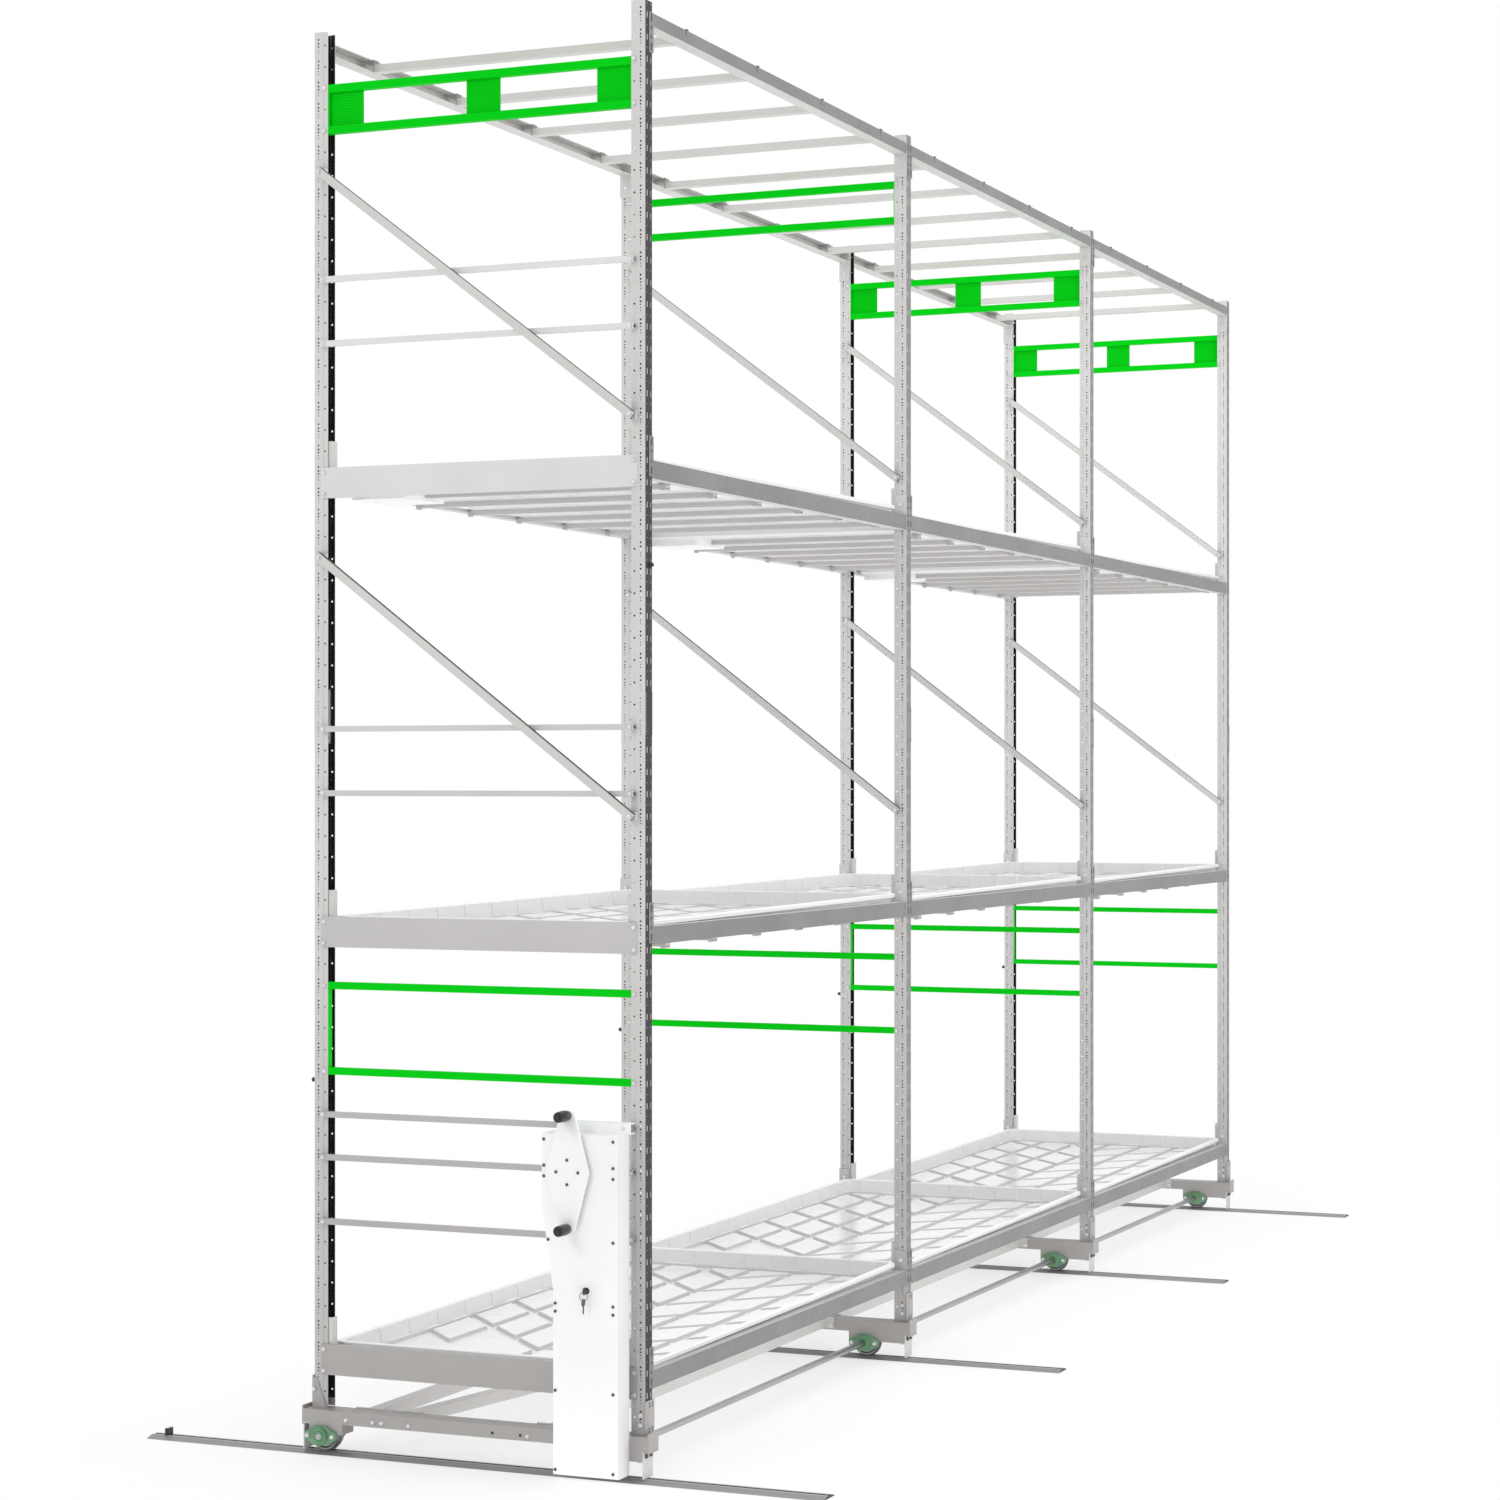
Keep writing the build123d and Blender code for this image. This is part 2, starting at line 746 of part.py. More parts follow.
def make_diagonal(left_hole, right_hole, back):
    """Channel that runs down from the left post to the right one, with its back at that depth."""
    rise = hole_z(right_hole) - hole_z(left_hole)
    length = hypot(2 * bolt_x, rise) + 2 * diagonal_overhang
    lean = degrees(atan2(-rise, 2 * bolt_x))
    half = diagonal_width / 2
    path = [(0, -half), (-diagonal_depth, -half), (-diagonal_depth, half), (0, half)]
    bar = draw_out(polygon(folded_sheet(path, -diagonal_wall)), along_x(-length / 2), length)
    middle_z = (hole_z(left_hole) + hole_z(right_hole)) / 2
    return Pos(0, back, middle_z) * Rot(0, lean, 0) * bar


def make_diagonal_spacers(left_hole, right_hole):
    """Blocks that hold a diagonal of the first frame clear of its level braces."""
    half = diagonal_width / 2
    spacers = []
    for side, hole in ((-1, left_hole), (1, right_hole)):
        x = side * bolt_x
        z = hole_z(hole)
        spacers.append(block(x - half, x + half, brace_front, post_front, z - half, z + half))
    return spacers


def make_green_frame(low_z, high_z, bar):
    """Open rectangle of four bars, held behind the front flanges of both posts."""
    back = green_front + green_depth
    half = green_half_length
    pieces = [
        block(-half, half, green_front, back, low_z, low_z + bar),
        block(-half, half, green_front, back, high_z - bar, high_z),
    ]
    for side in (-1, 1):
        inner = side * (half - bar)
        pieces.append(block(inner, side * half, green_front, back, low_z + bar, high_z - bar))
    return pieces


def upper_green_span():
    middle = hole_z(upper_green_hole)
    return middle - upper_green_height / 2, middle + upper_green_height / 2


def make_green_plates():
    """Three plates set back between the bars of an upper green frame."""
    low, high = upper_green_span()
    middle = green_front + green_depth / 2
    end = green_half_length - upper_green_bar
    half = green_plate_width / 2
    plates = []
    for centre in (-end + half, green_plate_centre_x, end - half):
        span = (centre - half, centre + half)
        depth = (middle, middle + green_plate_thickness)
        plates.append(block(*span, *depth, low + upper_green_bar, high - upper_green_bar))
    return plates


# Crank column, bracket, screws and lock


def column_outline():
    left = [(column_left_low_x, column_floor_gap), (column_left_low_x, base_top + column_bend_low)]
    left += [(column_left_x, base_top + column_bend_top), (column_left_x, base_top + column_top)]
    return left + [(column_right_x, base_top + column_top), (column_right_x, column_floor_gap)]


def column_wall_outline():
    return folded_sheet(column_outline(), -column_wall)


def make_column():
    """Folded cover, open at its back and at its foot."""
    depth = column_back_y - column_front_y
    walls = draw_out(polygon(column_wall_outline()), along_y(column_front_y), depth)
    front = draw_out(polygon(column_outline()), along_y(column_front_y), column_wall)
    cover = walls + front
    for x, z, radius in ((crank_x, crank_z, bush_radius), (lock_x, lock_z, lock_radius)):
        hole = faceted(radius, boss_sides)
        cover -= draw_out(hole, along_y(column_front_y, x, z), column_wall)
    return cover


def make_column_back():
    """Plate between the walls of the column, above the base beam."""
    inside = column_wall_outline()[len(column_outline()):]
    plate = draw_out(polygon(inside), along_y(column_back_y - column_wall), column_wall)
    low = base_top + column_back_lift
    high = base_top + column_top
    return plate & block(column_left_x, column_right_x, column_front_y, column_back_y, low, high)


def make_column_bracket():
    """Channel that ties the top of the column to the level brace behind it."""
    bottom = base_top + column_top
    half = bracket_height / 2
    path = [(0, -half), (-bracket_depth, -half), (-bracket_depth, half), (0, half)]
    section = polygon(folded_sheet(path, -bracket_wall))
    plane = along_x(bracket_left_x, brace_front, bottom + half)
    return draw_out(section, plane, bracket_right_x - bracket_left_x)


def make_crank_bush():
    """Flanged bush that carries the crank shaft in the front of the column."""
    front = column_front_y - lock_rim
    back = column_front_y + bush_length
    outer = faceted_bar(crank_x, crank_z, front, back, bush_radius - running_gap, boss_sides)
    rim = faceted_bar(crank_x, crank_z, front, column_front_y, bush_radius + lock_rim, boss_sides)
    bore = draw_out(faceted_bore(crank_shaft_radius + running_gap), along_y(front, crank_x, crank_z), back - front)
    return outer + rim - bore


def make_lock():
    """Barrel and rim that hold the turning plug of the lock."""
    front = column_front_y - lock_rim
    back = column_front_y + lock_length
    barrel = faceted_bar(lock_x, lock_z, front, back, lock_radius - running_gap, boss_sides)
    rim = faceted_bar(lock_x, lock_z, front, column_front_y, lock_radius + lock_rim, boss_sides)
    bore = draw_out(faceted_bore(plug_radius + running_gap), along_y(front, lock_x, lock_z), back - front)
    return barrel + rim - bore


# Crank, sprockets, chain and key


def make_crank_plate():
    tip = crank_tip_half_width
    end = crank_half_height
    outline = [(tip, end), (crank_half_width, 0), (tip, -end)]
    outline += [(-x, z) for x, z in reversed(outline)]
    outline.remove((-crank_half_width, 0))
    outline.insert(4, (-crank_half_width, 0))
    return draw_out(polygon(outline), along_y(crank_plate_front, crank_x, crank_z), crank_plate_thickness)


def make_crank_shaft():
    """Shaft from the back of the crank plate to the far side of its sprocket, with a hub in front."""
    back = chain_plane_y + sprocket_width
    hub_back = column_front_y - lock_rim - crank_hub_gap
    hub = faceted_bar(crank_x, crank_z, crank_plate_back, hub_back, crank_hub_radius, boss_sides)
    return hub + round_bar(crank_x, crank_z, crank_plate_back, back, crank_shaft_radius)


def make_grip_pin(side):
    z = crank_z + side * grip_offset
    end = crank_plate_front - grip_length - 2 * grip_gap
    pin = round_bar(crank_x, z, end, crank_plate_front, grip_pin_radius)
    head = faceted_bar(crank_x, z, end - grip_pin_head_height, end, grip_pin_head_radius, small_sides)
    return pin + head


def make_grip(side):
    """Grip that turns freely on its pin, narrower at both ends."""
    z = crank_z + side * grip_offset
    back = crank_plate_front - grip_gap
    front = back - grip_length
    middle = (front + back) / 2
    wide = faceted(grip_radius, boss_sides)
    narrow = faceted(grip_waist_radius, boss_sides)
    body = loft([along_y(front, crank_x, z) * narrow, along_y(middle, crank_x, z) * wide])
    body += loft([along_y(middle, crank_x, z) * wide, along_y(back, crank_x, z) * narrow])
    bore = draw_out(faceted_bore(grip_pin_radius + running_gap), along_y(front, crank_x, z), grip_length)
    return body - bore


def pitch_radius(teeth):
    return chain_pitch / (2 * sin(pi / teeth))


def make_sprocket(x, z, teeth, bore_radius):
    outer = pitch_radius(teeth) + tooth_height / 2
    root = pitch_radius(teeth) - tooth_height
    outline = []
    for index in range(teeth):
        for radius, share in ((outer, 0), (root, 0.5)):
            turn = 2 * pi * (index + share) / teeth
            outline.append((radius * cos(turn), radius * sin(turn)))
    face = polygon(outline) - faceted_bore(bore_radius + running_gap)
    return draw_out(face, along_y(chain_plane_y - sprocket_width / 2, x, z), sprocket_width)


def chain_loop(extra):
    """Area inside a band round both sprockets, that much outside their pitch circles."""
    circles = [
        Pos(crank_x, crank_z) * faceted(pitch_radius(crank_teeth) + extra, boss_sides),
        Pos(drive_wheel_x, axle_height) * faceted(pitch_radius(shaft_teeth) + extra, boss_sides),
    ]
    return make_hull([edge for circle in circles for edge in circle.edges()])


def make_chain():
    """The two rows of link plates, one on each side of the sprockets."""
    band = chain_loop(chain_height / 2) - chain_loop(-chain_height / 2)
    gap = sprocket_width / 2 + chain_side_gap
    front = chain_plane_y - gap - chain_plate_thickness
    back = chain_plane_y + gap
    return [draw_out(band, along_y(y), chain_plate_thickness) for y in (front, back)]


def make_plug():
    """Plug that turns in the lock, with a slot for the key."""
    front = column_front_y - lock_rim
    plug = round_bar(lock_x, lock_z, front, column_front_y + lock_length, plug_radius)
    half = key_thickness / 2 + key_gap
    shank = key_shank_width / 2 + key_gap
    return plug - block(lock_x - half, lock_x + half, front, column_front_y + key_blade_length,
                        lock_z - shank, lock_z + shank)


def make_key():
    """Key in the lock: a blade in the plug and a flat bow in front of it."""
    rim_front = column_front_y - lock_rim
    half = key_thickness / 2
    shank = key_shank_width / 2
    blade = block(lock_x - half, lock_x + half, rim_front - key_bow_radius,
                  column_front_y + key_blade_length - key_gap, lock_z - shank, lock_z + shank)
    bow_y = rim_front - key_gap - key_bow_radius
    plane = along_x(lock_x - half, bow_y, lock_z)
    bow = draw_out(faceted(key_bow_radius, small_sides), plane, key_thickness)
    hole = draw_out(Pos(-key_bow_radius / 2, 0) * faceted(key_hole_radius, small_sides), plane, key_thickness)
    return blade + bow - hole


def make_key_ring():
    """Ring through the bow of the key, and a spare key that hangs on it."""
    hole_y = column_front_y - lock_rim - key_gap - 1.5 * key_bow_radius
    seat = key_hole_radius * cos(pi / small_sides) - ring_wire_radius - ring_play
    loop = faceted(ring_radius + ring_wire_radius, wheel_sides) - faceted(ring_radius - ring_wire_radius, wheel_sides)
    ring_plane = along_y(hole_y - ring_wire_radius, lock_x, lock_z - seat - ring_radius)
    ring = draw_out(loop, ring_plane, 2 * ring_wire_radius)
    spare_z = lock_z - 2 * (seat + ring_radius)
    half = key_thickness / 2
    plane = along_x(lock_x - half, hole_y, spare_z)
    bow = draw_out(Pos(0, -key_bow_radius / 2) * faceted(key_bow_radius, small_sides), plane, key_thickness)
    hole = draw_out(faceted(key_hole_radius, small_sides), plane, key_thickness)
    shank_half = key_shank_width / 2
    shank_top = spare_z - key_bow_radius
    shank = block(lock_x - half, lock_x + half, hole_y - shank_half, hole_y + shank_half,
                  shank_top - key_shank_length, shank_top)
    return [ring, bow - hole + shank]


os.makedirs("parts", exist_ok=True)

write("floor_rails", at_frames([make_floor_rail()]))
write("rail_end_stops", at_frames([make_rail_stop()]))

write("drive_shaft", [make_drive_shaft()])
write("drive_wheels", at_frames([make_wheel(drive_wheel_x)]))
write("shaft_sprocket", [make_sprocket(drive_wheel_x, axle_height, shaft_teeth, shaft_radius)])
for number in range(frame_count):
    idle_set = [make_wheel(idle_wheel_x), make_idle_axle()]
    write(f"idle_wheel_{number + 1}", [Pos(0, frame_y(number), 0) * piece for piece in idle_set])
write("flanged_bearings", at_frames([make_bearing(idle_wheel_x), make_bearing(drive_wheel_x)]))

write("base_beams", at_frames([make_base_beam(), make_end_plate(-1), make_end_plate(1)]))
idle_housing = make_housing(idle_wheel_x, idle_housing_outer_x, idle_housing_inner_x)
drive_housing = make_housing(drive_wheel_x, drive_housing_inner_x, drive_housing_outer_x)
write("wheel_housings", at_frames([idle_housing, drive_housing]))
left_guard = make_guard(-1, beam_end_x, base_bottom, base_bottom)
right_guard = make_guard(1, drive_housing_outer_x + guard_thickness, housing_bottom, base_bottom)
write("rail_guards", at_frames([left_guard, right_guard]))
write("base_ties", in_bays([make_tie(tie_left_x, tie_left_x), make_tie(tie_right_x, tie_right_x)]))
write("diagonal_base_ties", in_bays([make_tie(tie_diagonal_start_x, tie_diagonal_end_x)]))

sides = (-1, 1)
write("lower_posts", at_frames([make_post(side, base_top, post_splice_height) for side in sides]))
write("upper_posts", at_frames([make_post(side, splice_z, post_length - post_splice_height) for side in sides]))
write("post_sleeves", at_frames([make_sleeve(side) for side in sides]))
write("post_feet", at_frames([make_foot(side) for side in sides]))

for level, hole in level_holes.items():
    beam_bottom = hole_z(hole) - side_beam_drop
    write(f"{level}_side_beams", in_bays([make_side_beam(side, beam_bottom) for side in sides]))
    write(f"{level}_connectors", in_bays(make_connectors(beam_bottom + connector_lift)))
    write(f"{level}_cross_bars", in_bays(make_cross_bars(beam_bottom)))
    write(f"{level}_trays", in_bays([make_tray(beam_bottom)]))

top_connector_bottom = hole_z(top_hole) + top_beam_rise - connector_height
write("top_beams", in_bays([make_top_beam(side) for side in sides]))
write("top_connectors", in_bays(make_connectors(top_connector_bottom)))
write("light_bars", in_bays(make_light_bars()))
write("light_bar_hooks", in_bays(make_light_bar_hooks()))

write("fascias", [make_fascia(hole) for hole in level_holes.values()])
write("level_braces", [make_brace(hole) for hole in brace_holes])
front_diagonals = [make_diagonal(*holes, brace_front) for holes in diagonal_holes]
other_diagonals = at_frames([make_diagonal(*holes, post_front) for holes in diagonal_holes])
spacers = [spacer for holes in diagonal_holes for spacer in make_diagonal_spacers(*holes)]
write("diagonal_braces", front_diagonals + spacers + other_diagonals[len(diagonal_holes):])
write("upper_green_frames", at_frames(make_green_frame(*upper_green_span(), upper_green_bar)))
green_plates = make_green_plates()
write("green_plates", [Pos(0, frame_y(index), 0) * plate for index in green_plate_frames for plate in green_plates])
lower_green_low = hole_z(lower_green_holes[0]) - lower_green_bar / 2
lower_green_high = hole_z(lower_green_holes[1]) + lower_green_bar / 2
write("lower_green_frames", at_frames(make_green_frame(lower_green_low, lower_green_high, lower_green_bar)))

write("crank_column", [make_column()])
write("column_back", [make_column_back()])
write("column_bracket", [make_column_bracket()])
write("crank_bush", [make_crank_bush()])
write("column_lock", [make_lock()])
write("drive_chain", make_chain())
write("crank_plate", [make_crank_plate()])
write("crank_shaft", [make_crank_shaft()])
write("crank_sprocket", [make_sprocket(crank_x, crank_z, crank_teeth, crank_shaft_radius)])
write("grip_pins", [make_grip_pin(side) for side in sides])
write("upper_grip", [make_grip(1)])
write("lower_grip", [make_grip(-1)])
write("lock_plug", [make_plug()])
write("lock_key", [make_key()])
write("key_ring", make_key_ring())
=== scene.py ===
import json
from math import cos, hypot, pi, radians, sin, tan

import bmesh
import bpy
from bpy.props import FloatProperty, FloatVectorProperty, IntProperty, PointerProperty
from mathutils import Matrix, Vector
from mathutils.geometry import tessellate_polygon


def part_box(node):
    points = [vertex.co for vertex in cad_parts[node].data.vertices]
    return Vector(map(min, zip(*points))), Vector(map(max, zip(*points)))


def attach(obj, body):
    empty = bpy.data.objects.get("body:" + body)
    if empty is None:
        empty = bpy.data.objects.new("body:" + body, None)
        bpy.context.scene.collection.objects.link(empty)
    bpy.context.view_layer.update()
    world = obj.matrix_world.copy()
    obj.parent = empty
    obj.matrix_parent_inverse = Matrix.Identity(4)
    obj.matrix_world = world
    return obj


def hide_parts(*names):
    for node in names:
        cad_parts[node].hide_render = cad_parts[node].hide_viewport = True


bl_info = {
    "name": "Rolling Grow Rack",
    "version": (1, 0, 0),
    "blender": (4, 5, 0),
    "location": "View3D > Sidebar > Grow Rack",
    "description": "Dresses the packed frame of a rolling grow rack with detailed pieces and finishes",
    "category": "Object",
}

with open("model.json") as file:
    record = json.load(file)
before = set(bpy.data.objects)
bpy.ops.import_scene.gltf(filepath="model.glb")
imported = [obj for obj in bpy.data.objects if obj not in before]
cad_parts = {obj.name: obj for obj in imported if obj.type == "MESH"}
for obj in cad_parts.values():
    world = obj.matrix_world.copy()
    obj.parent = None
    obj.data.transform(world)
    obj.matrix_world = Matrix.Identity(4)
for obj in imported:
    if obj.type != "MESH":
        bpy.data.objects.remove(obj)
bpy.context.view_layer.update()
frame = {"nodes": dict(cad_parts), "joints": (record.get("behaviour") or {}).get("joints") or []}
LEVELS = ("lower", "middle", "upper")
SIDES = (-1, 1)


def low(node):
    """Lowest corner of a CAD node at rest."""
    return Vector(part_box(node)[0])


def high(node):
    """Highest corner of a CAD node at rest."""
    return Vector(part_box(node)[1])


def joint_place(name):
    """A point on the axis of a joint of the frame."""
    for joint in frame["joints"]:
        if joint["name"] == name:
            return Vector(joint["pos_m"])
    raise RuntimeError(f"the frame has no joint named {name}")


# Places read from the frame
FRAME_COUNT = 4
BAY_PITCH = joint_place("idle_wheel_2_turn").y - joint_place("idle_wheel_1_turn").y
POST_X = high("lower_posts").x
POST_WIDTH = (high("lower_posts").y - low("lower_posts").y) - (FRAME_COUNT - 1) * BAY_PITCH
POST_Y = low("lower_posts").y + POST_WIDTH / 2
POST_FRONT = low("lower_posts").y
BASE_TOP = low("lower_posts").z
SPLICE_Z = high("lower_posts").z
POST_TOP = high("upper_posts").z
AXLE = joint_place("drive_shaft_turn")
IDLE_AXLE = joint_place("idle_wheel_1_turn")
BEAM_FRONT = low("base_beams").y
CRANK = joint_place("crank_turn")
KEY = joint_place("key_turn")
COLUMN_LOW = low("crank_column")
COLUMN_HIGH = high("crank_column")
HOLE_PITCH = 0.075
FIRST_HOLE = BASE_TOP + 0.058


def hole_z(number):
    """Height of a bolt hole of the posts."""
    return FIRST_HOLE + number * HOLE_PITCH


def frame_y(index):
    return index * BAY_PITCH


def bay_centre(index):
    return frame_y(index) + BAY_PITCH / 2 + POST_Y


# Sizes and colours that a user may change


class RackSizes(bpy.types.PropertyGroup):
    """Sizes of the details."""

    hole_radius: FloatProperty(
        name="Post hole radius", description="Radius of the larger round holes of the posts",
        default=0.0036, min=0.001, max=0.006, unit="LENGTH")
    slot_height: FloatProperty(
        name="Post slot height", description="Height of the slots in the outer faces of the posts",
        default=0.021, min=0.012, max=0.03, unit="LENGTH")
    bolt_width: FloatProperty(
        name="Bolt width", description="Width of the bolt heads over their flats",
        default=0.013, min=0.01, max=0.024, unit="LENGTH")
    screw_radius: FloatProperty(
        name="Screw radius", description="Radius of the screw heads of the column and the crank",
        default=0.0055, min=0.003, max=0.008, unit="LENGTH")
    channel_width: FloatProperty(
        name="Channel width", description="Width of the drain channels in the tray floors",
        default=0.028, min=0.015, max=0.04, unit="LENGTH")
    tray_slope: FloatProperty(
        name="Tray Slope", description="Fall of the trays towards their near ends, per metre of length",
        default=0.008)
    rib_count: IntProperty(
        name="Wall ribs", description="Number of ribs along each long wall of a tray",
        default=11, min=3, max=21)


class RackColours(bpy.types.PropertyGroup):
    """Colours of the finishes."""

    steel: FloatVectorProperty(
        name="Painted steel", description="Paint of the posts, beams and fascias",
        default=(0.63, 0.62, 0.61), size=3, min=0, max=1, subtype="COLOR")
    # Painted shade: colour of the fronts near the floor, darker than their paint.
    shaded_low_front: FloatVectorProperty(
        name="Low fronts", description="Paint of fascias and base beams near the floor",
        default=(0.34, 0.325, 0.315), size=3, min=0, max=1, subtype="COLOR")
    # Painted light: colour of the highest fronts, paler than their paint.
    lit_high_front: FloatVectorProperty(
        name="High fronts", description="Paint of fascias at the uppermost level",
        default=(0.72, 0.705, 0.70), size=3, min=0, max=1, subtype="COLOR")
    # Painted shade: the dark outer and inner faces of the post webs.
    web: FloatVectorProperty(
        name="Post sides", description="Dark outer and inner faces of the post webs",
        default=(0.06, 0.06, 0.063), size=3, min=0, max=1, subtype="COLOR")
    # Painted shade: the darker outer and inner faces of the beams.
    beam_side_shade: FloatVectorProperty(
        name="Beam sides", description="Outer and inner faces of the side beams and the top beams",
        default=(0.215, 0.21, 0.217), size=3, min=0, max=1, subtype="COLOR")
    pale: FloatVectorProperty(
        name="Pale steel", description="Paint of the ties, the diagonals and the bars for lamps",
        default=(0.62, 0.605, 0.59), size=3, min=0, max=1, subtype="COLOR")
    bars: FloatVectorProperty(
        name="Cross bars", description="Paint of the bars under the trays",
        default=(0.56, 0.545, 0.53), size=3, min=0, max=1, subtype="COLOR")
    tray: FloatVectorProperty(
        name="Trays", description="Plastic of the growing trays",
        default=(0.92, 0.92, 0.93), size=3, min=0, max=1, subtype="COLOR")
    column: FloatVectorProperty(
        name="Column", description="Paint of the crank column and the crank",
        default=(0.925, 0.92, 0.935), size=3, min=0, max=1, subtype="COLOR")
    green: FloatVectorProperty(
        name="Green", description="Paint of the stiffening frames",
        default=(0.0, 0.60, 0.008), size=3, min=0, max=1, subtype="COLOR")
    bearing: FloatVectorProperty(
        name="Bearings", description="Paint of the flanged bearings",
        default=(0.13, 0.27, 0.15), size=3, min=0, max=1, subtype="COLOR")


# Materials


def node_tree(name):
    """New material with a Principled shader; returns the material, its nodes, its links and the shader."""
    material = bpy.data.materials.new(name)
    material.use_nodes = True
    nodes = material.node_tree.nodes
    return material, nodes, material.node_tree.links, nodes["Principled BSDF"]


def noise(nodes, links, scale, detail=3.0, stretch=(1, 1, 1)):
    """Noise over the object's own coordinates, in metres."""
    coordinates = nodes.new("ShaderNodeTexCoord")
    mapping = nodes.new("ShaderNodeMapping")
    mapping.inputs["Scale"].default_value = stretch
    texture = nodes.new("ShaderNodeTexNoise")
    texture.inputs["Scale"].default_value = scale
    texture.inputs["Detail"].default_value = detail
    links.new(coordinates.outputs["Object"], mapping.inputs["Vector"])
    links.new(mapping.outputs["Vector"], texture.inputs["Vector"])
    return texture.outputs["Fac"]


def spread(nodes, links, value, low_value, high_value):
    """The value's middle range mapped to a new range."""
    remap = nodes.new("ShaderNodeMapRange")
    remap.inputs["From Min"].default_value = 0.3
    remap.inputs["From Max"].default_value = 0.7
    remap.inputs["To Min"].default_value = low_value
    remap.inputs["To Max"].default_value = high_value
    links.new(value, remap.inputs["Value"])
    return remap.outputs["Result"]


def tinted(nodes, links, colour, factor, low_share, high_share):
    """A colour whose brightness follows a factor between two shares of itself."""
    mix = nodes.new("ShaderNodeMix")
    mix.data_type = "RGBA"
    mix.inputs["A"].default_value = (*[channel * low_share for channel in colour], 1)
    mix.inputs["B"].default_value = (*[min(channel * high_share, 1) for channel in colour], 1)
    links.new(spread(nodes, links, factor, 0, 1), mix.inputs["Factor"])
    return mix.outputs["Result"]


def bumped(nodes, links, shader, height, strength, distance):
    bump = nodes.new("ShaderNodeBump")
    bump.inputs["Strength"].default_value = strength
    bump.inputs["Distance"].default_value = distance
    links.new(height, bump.inputs["Height"])
    links.new(bump.outputs["Normal"], shader.inputs["Normal"])


def powder_coat(name, colour, roughness=0.45, gloss=0.5):
    """Even paint with slight cloudiness and an orange-peel skin."""
    material, nodes, links, shader = node_tree(name)
    cloud = noise(nodes, links, 3.0)
    links.new(tinted(nodes, links, colour, cloud, 0.96, 1.03), shader.inputs["Base Color"])
    links.new(spread(nodes, links, noise(nodes, links, 40.0), roughness - 0.04, roughness + 0.05),
              shader.inputs["Roughness"])
    shader.inputs["Specular IOR Level"].default_value = gloss
    bumped(nodes, links, shader, noise(nodes, links, 120.0), 0.04, 0.0003)
    return material


def height_shaded_coat(name, low_colour, high_colour, top):
    """Paint that is darker near the floor and paler towards a height: painted shade low down and painted light
    higher up.
    """
    material, nodes, links, shader = node_tree(name)
    coordinates = nodes.new("ShaderNodeTexCoord")
    split = nodes.new("ShaderNodeSeparateXYZ")
    links.new(coordinates.outputs["Object"], split.inputs["Vector"])
    rise = nodes.new("ShaderNodeMapRange")
    rise.inputs["From Max"].default_value = top
    links.new(split.outputs["Z"], rise.inputs["Value"])
    mix = nodes.new("ShaderNodeMix")
    mix.data_type = "RGBA"
    links.new(rise.outputs["Result"], mix.inputs["Factor"])
    cloud = noise(nodes, links, 3.0)
    links.new(tinted(nodes, links, low_colour, cloud, 0.96, 1.03), mix.inputs["A"])
    links.new(tinted(nodes, links, high_colour, cloud, 0.96, 1.03), mix.inputs["B"])
    links.new(mix.outputs["Result"], shader.inputs["Base Color"])
    links.new(spread(nodes, links, noise(nodes, links, 40.0), 0.38, 0.48), shader.inputs["Roughness"])
    bumped(nodes, links, shader, noise(nodes, links, 120.0), 0.04, 0.0003)
    return material


def blend_along(nodes, links, value, start, end, first, second):
    """Mix of two colours whose factor rises while a value goes from start to end."""
    rise = nodes.new("ShaderNodeMapRange")
    rise.inputs["From Min"].default_value = start
    rise.inputs["From Max"].default_value = end
    links.new(value, rise.inputs["Value"])
    mix = nodes.new("ShaderNodeMix")
    mix.data_type = "RGBA"
    links.new(rise.outputs["Result"], mix.inputs["Factor"])
    links.new(first, mix.inputs["A"])
    links.new(second, mix.inputs["B"])
    return mix.outputs["Result"]


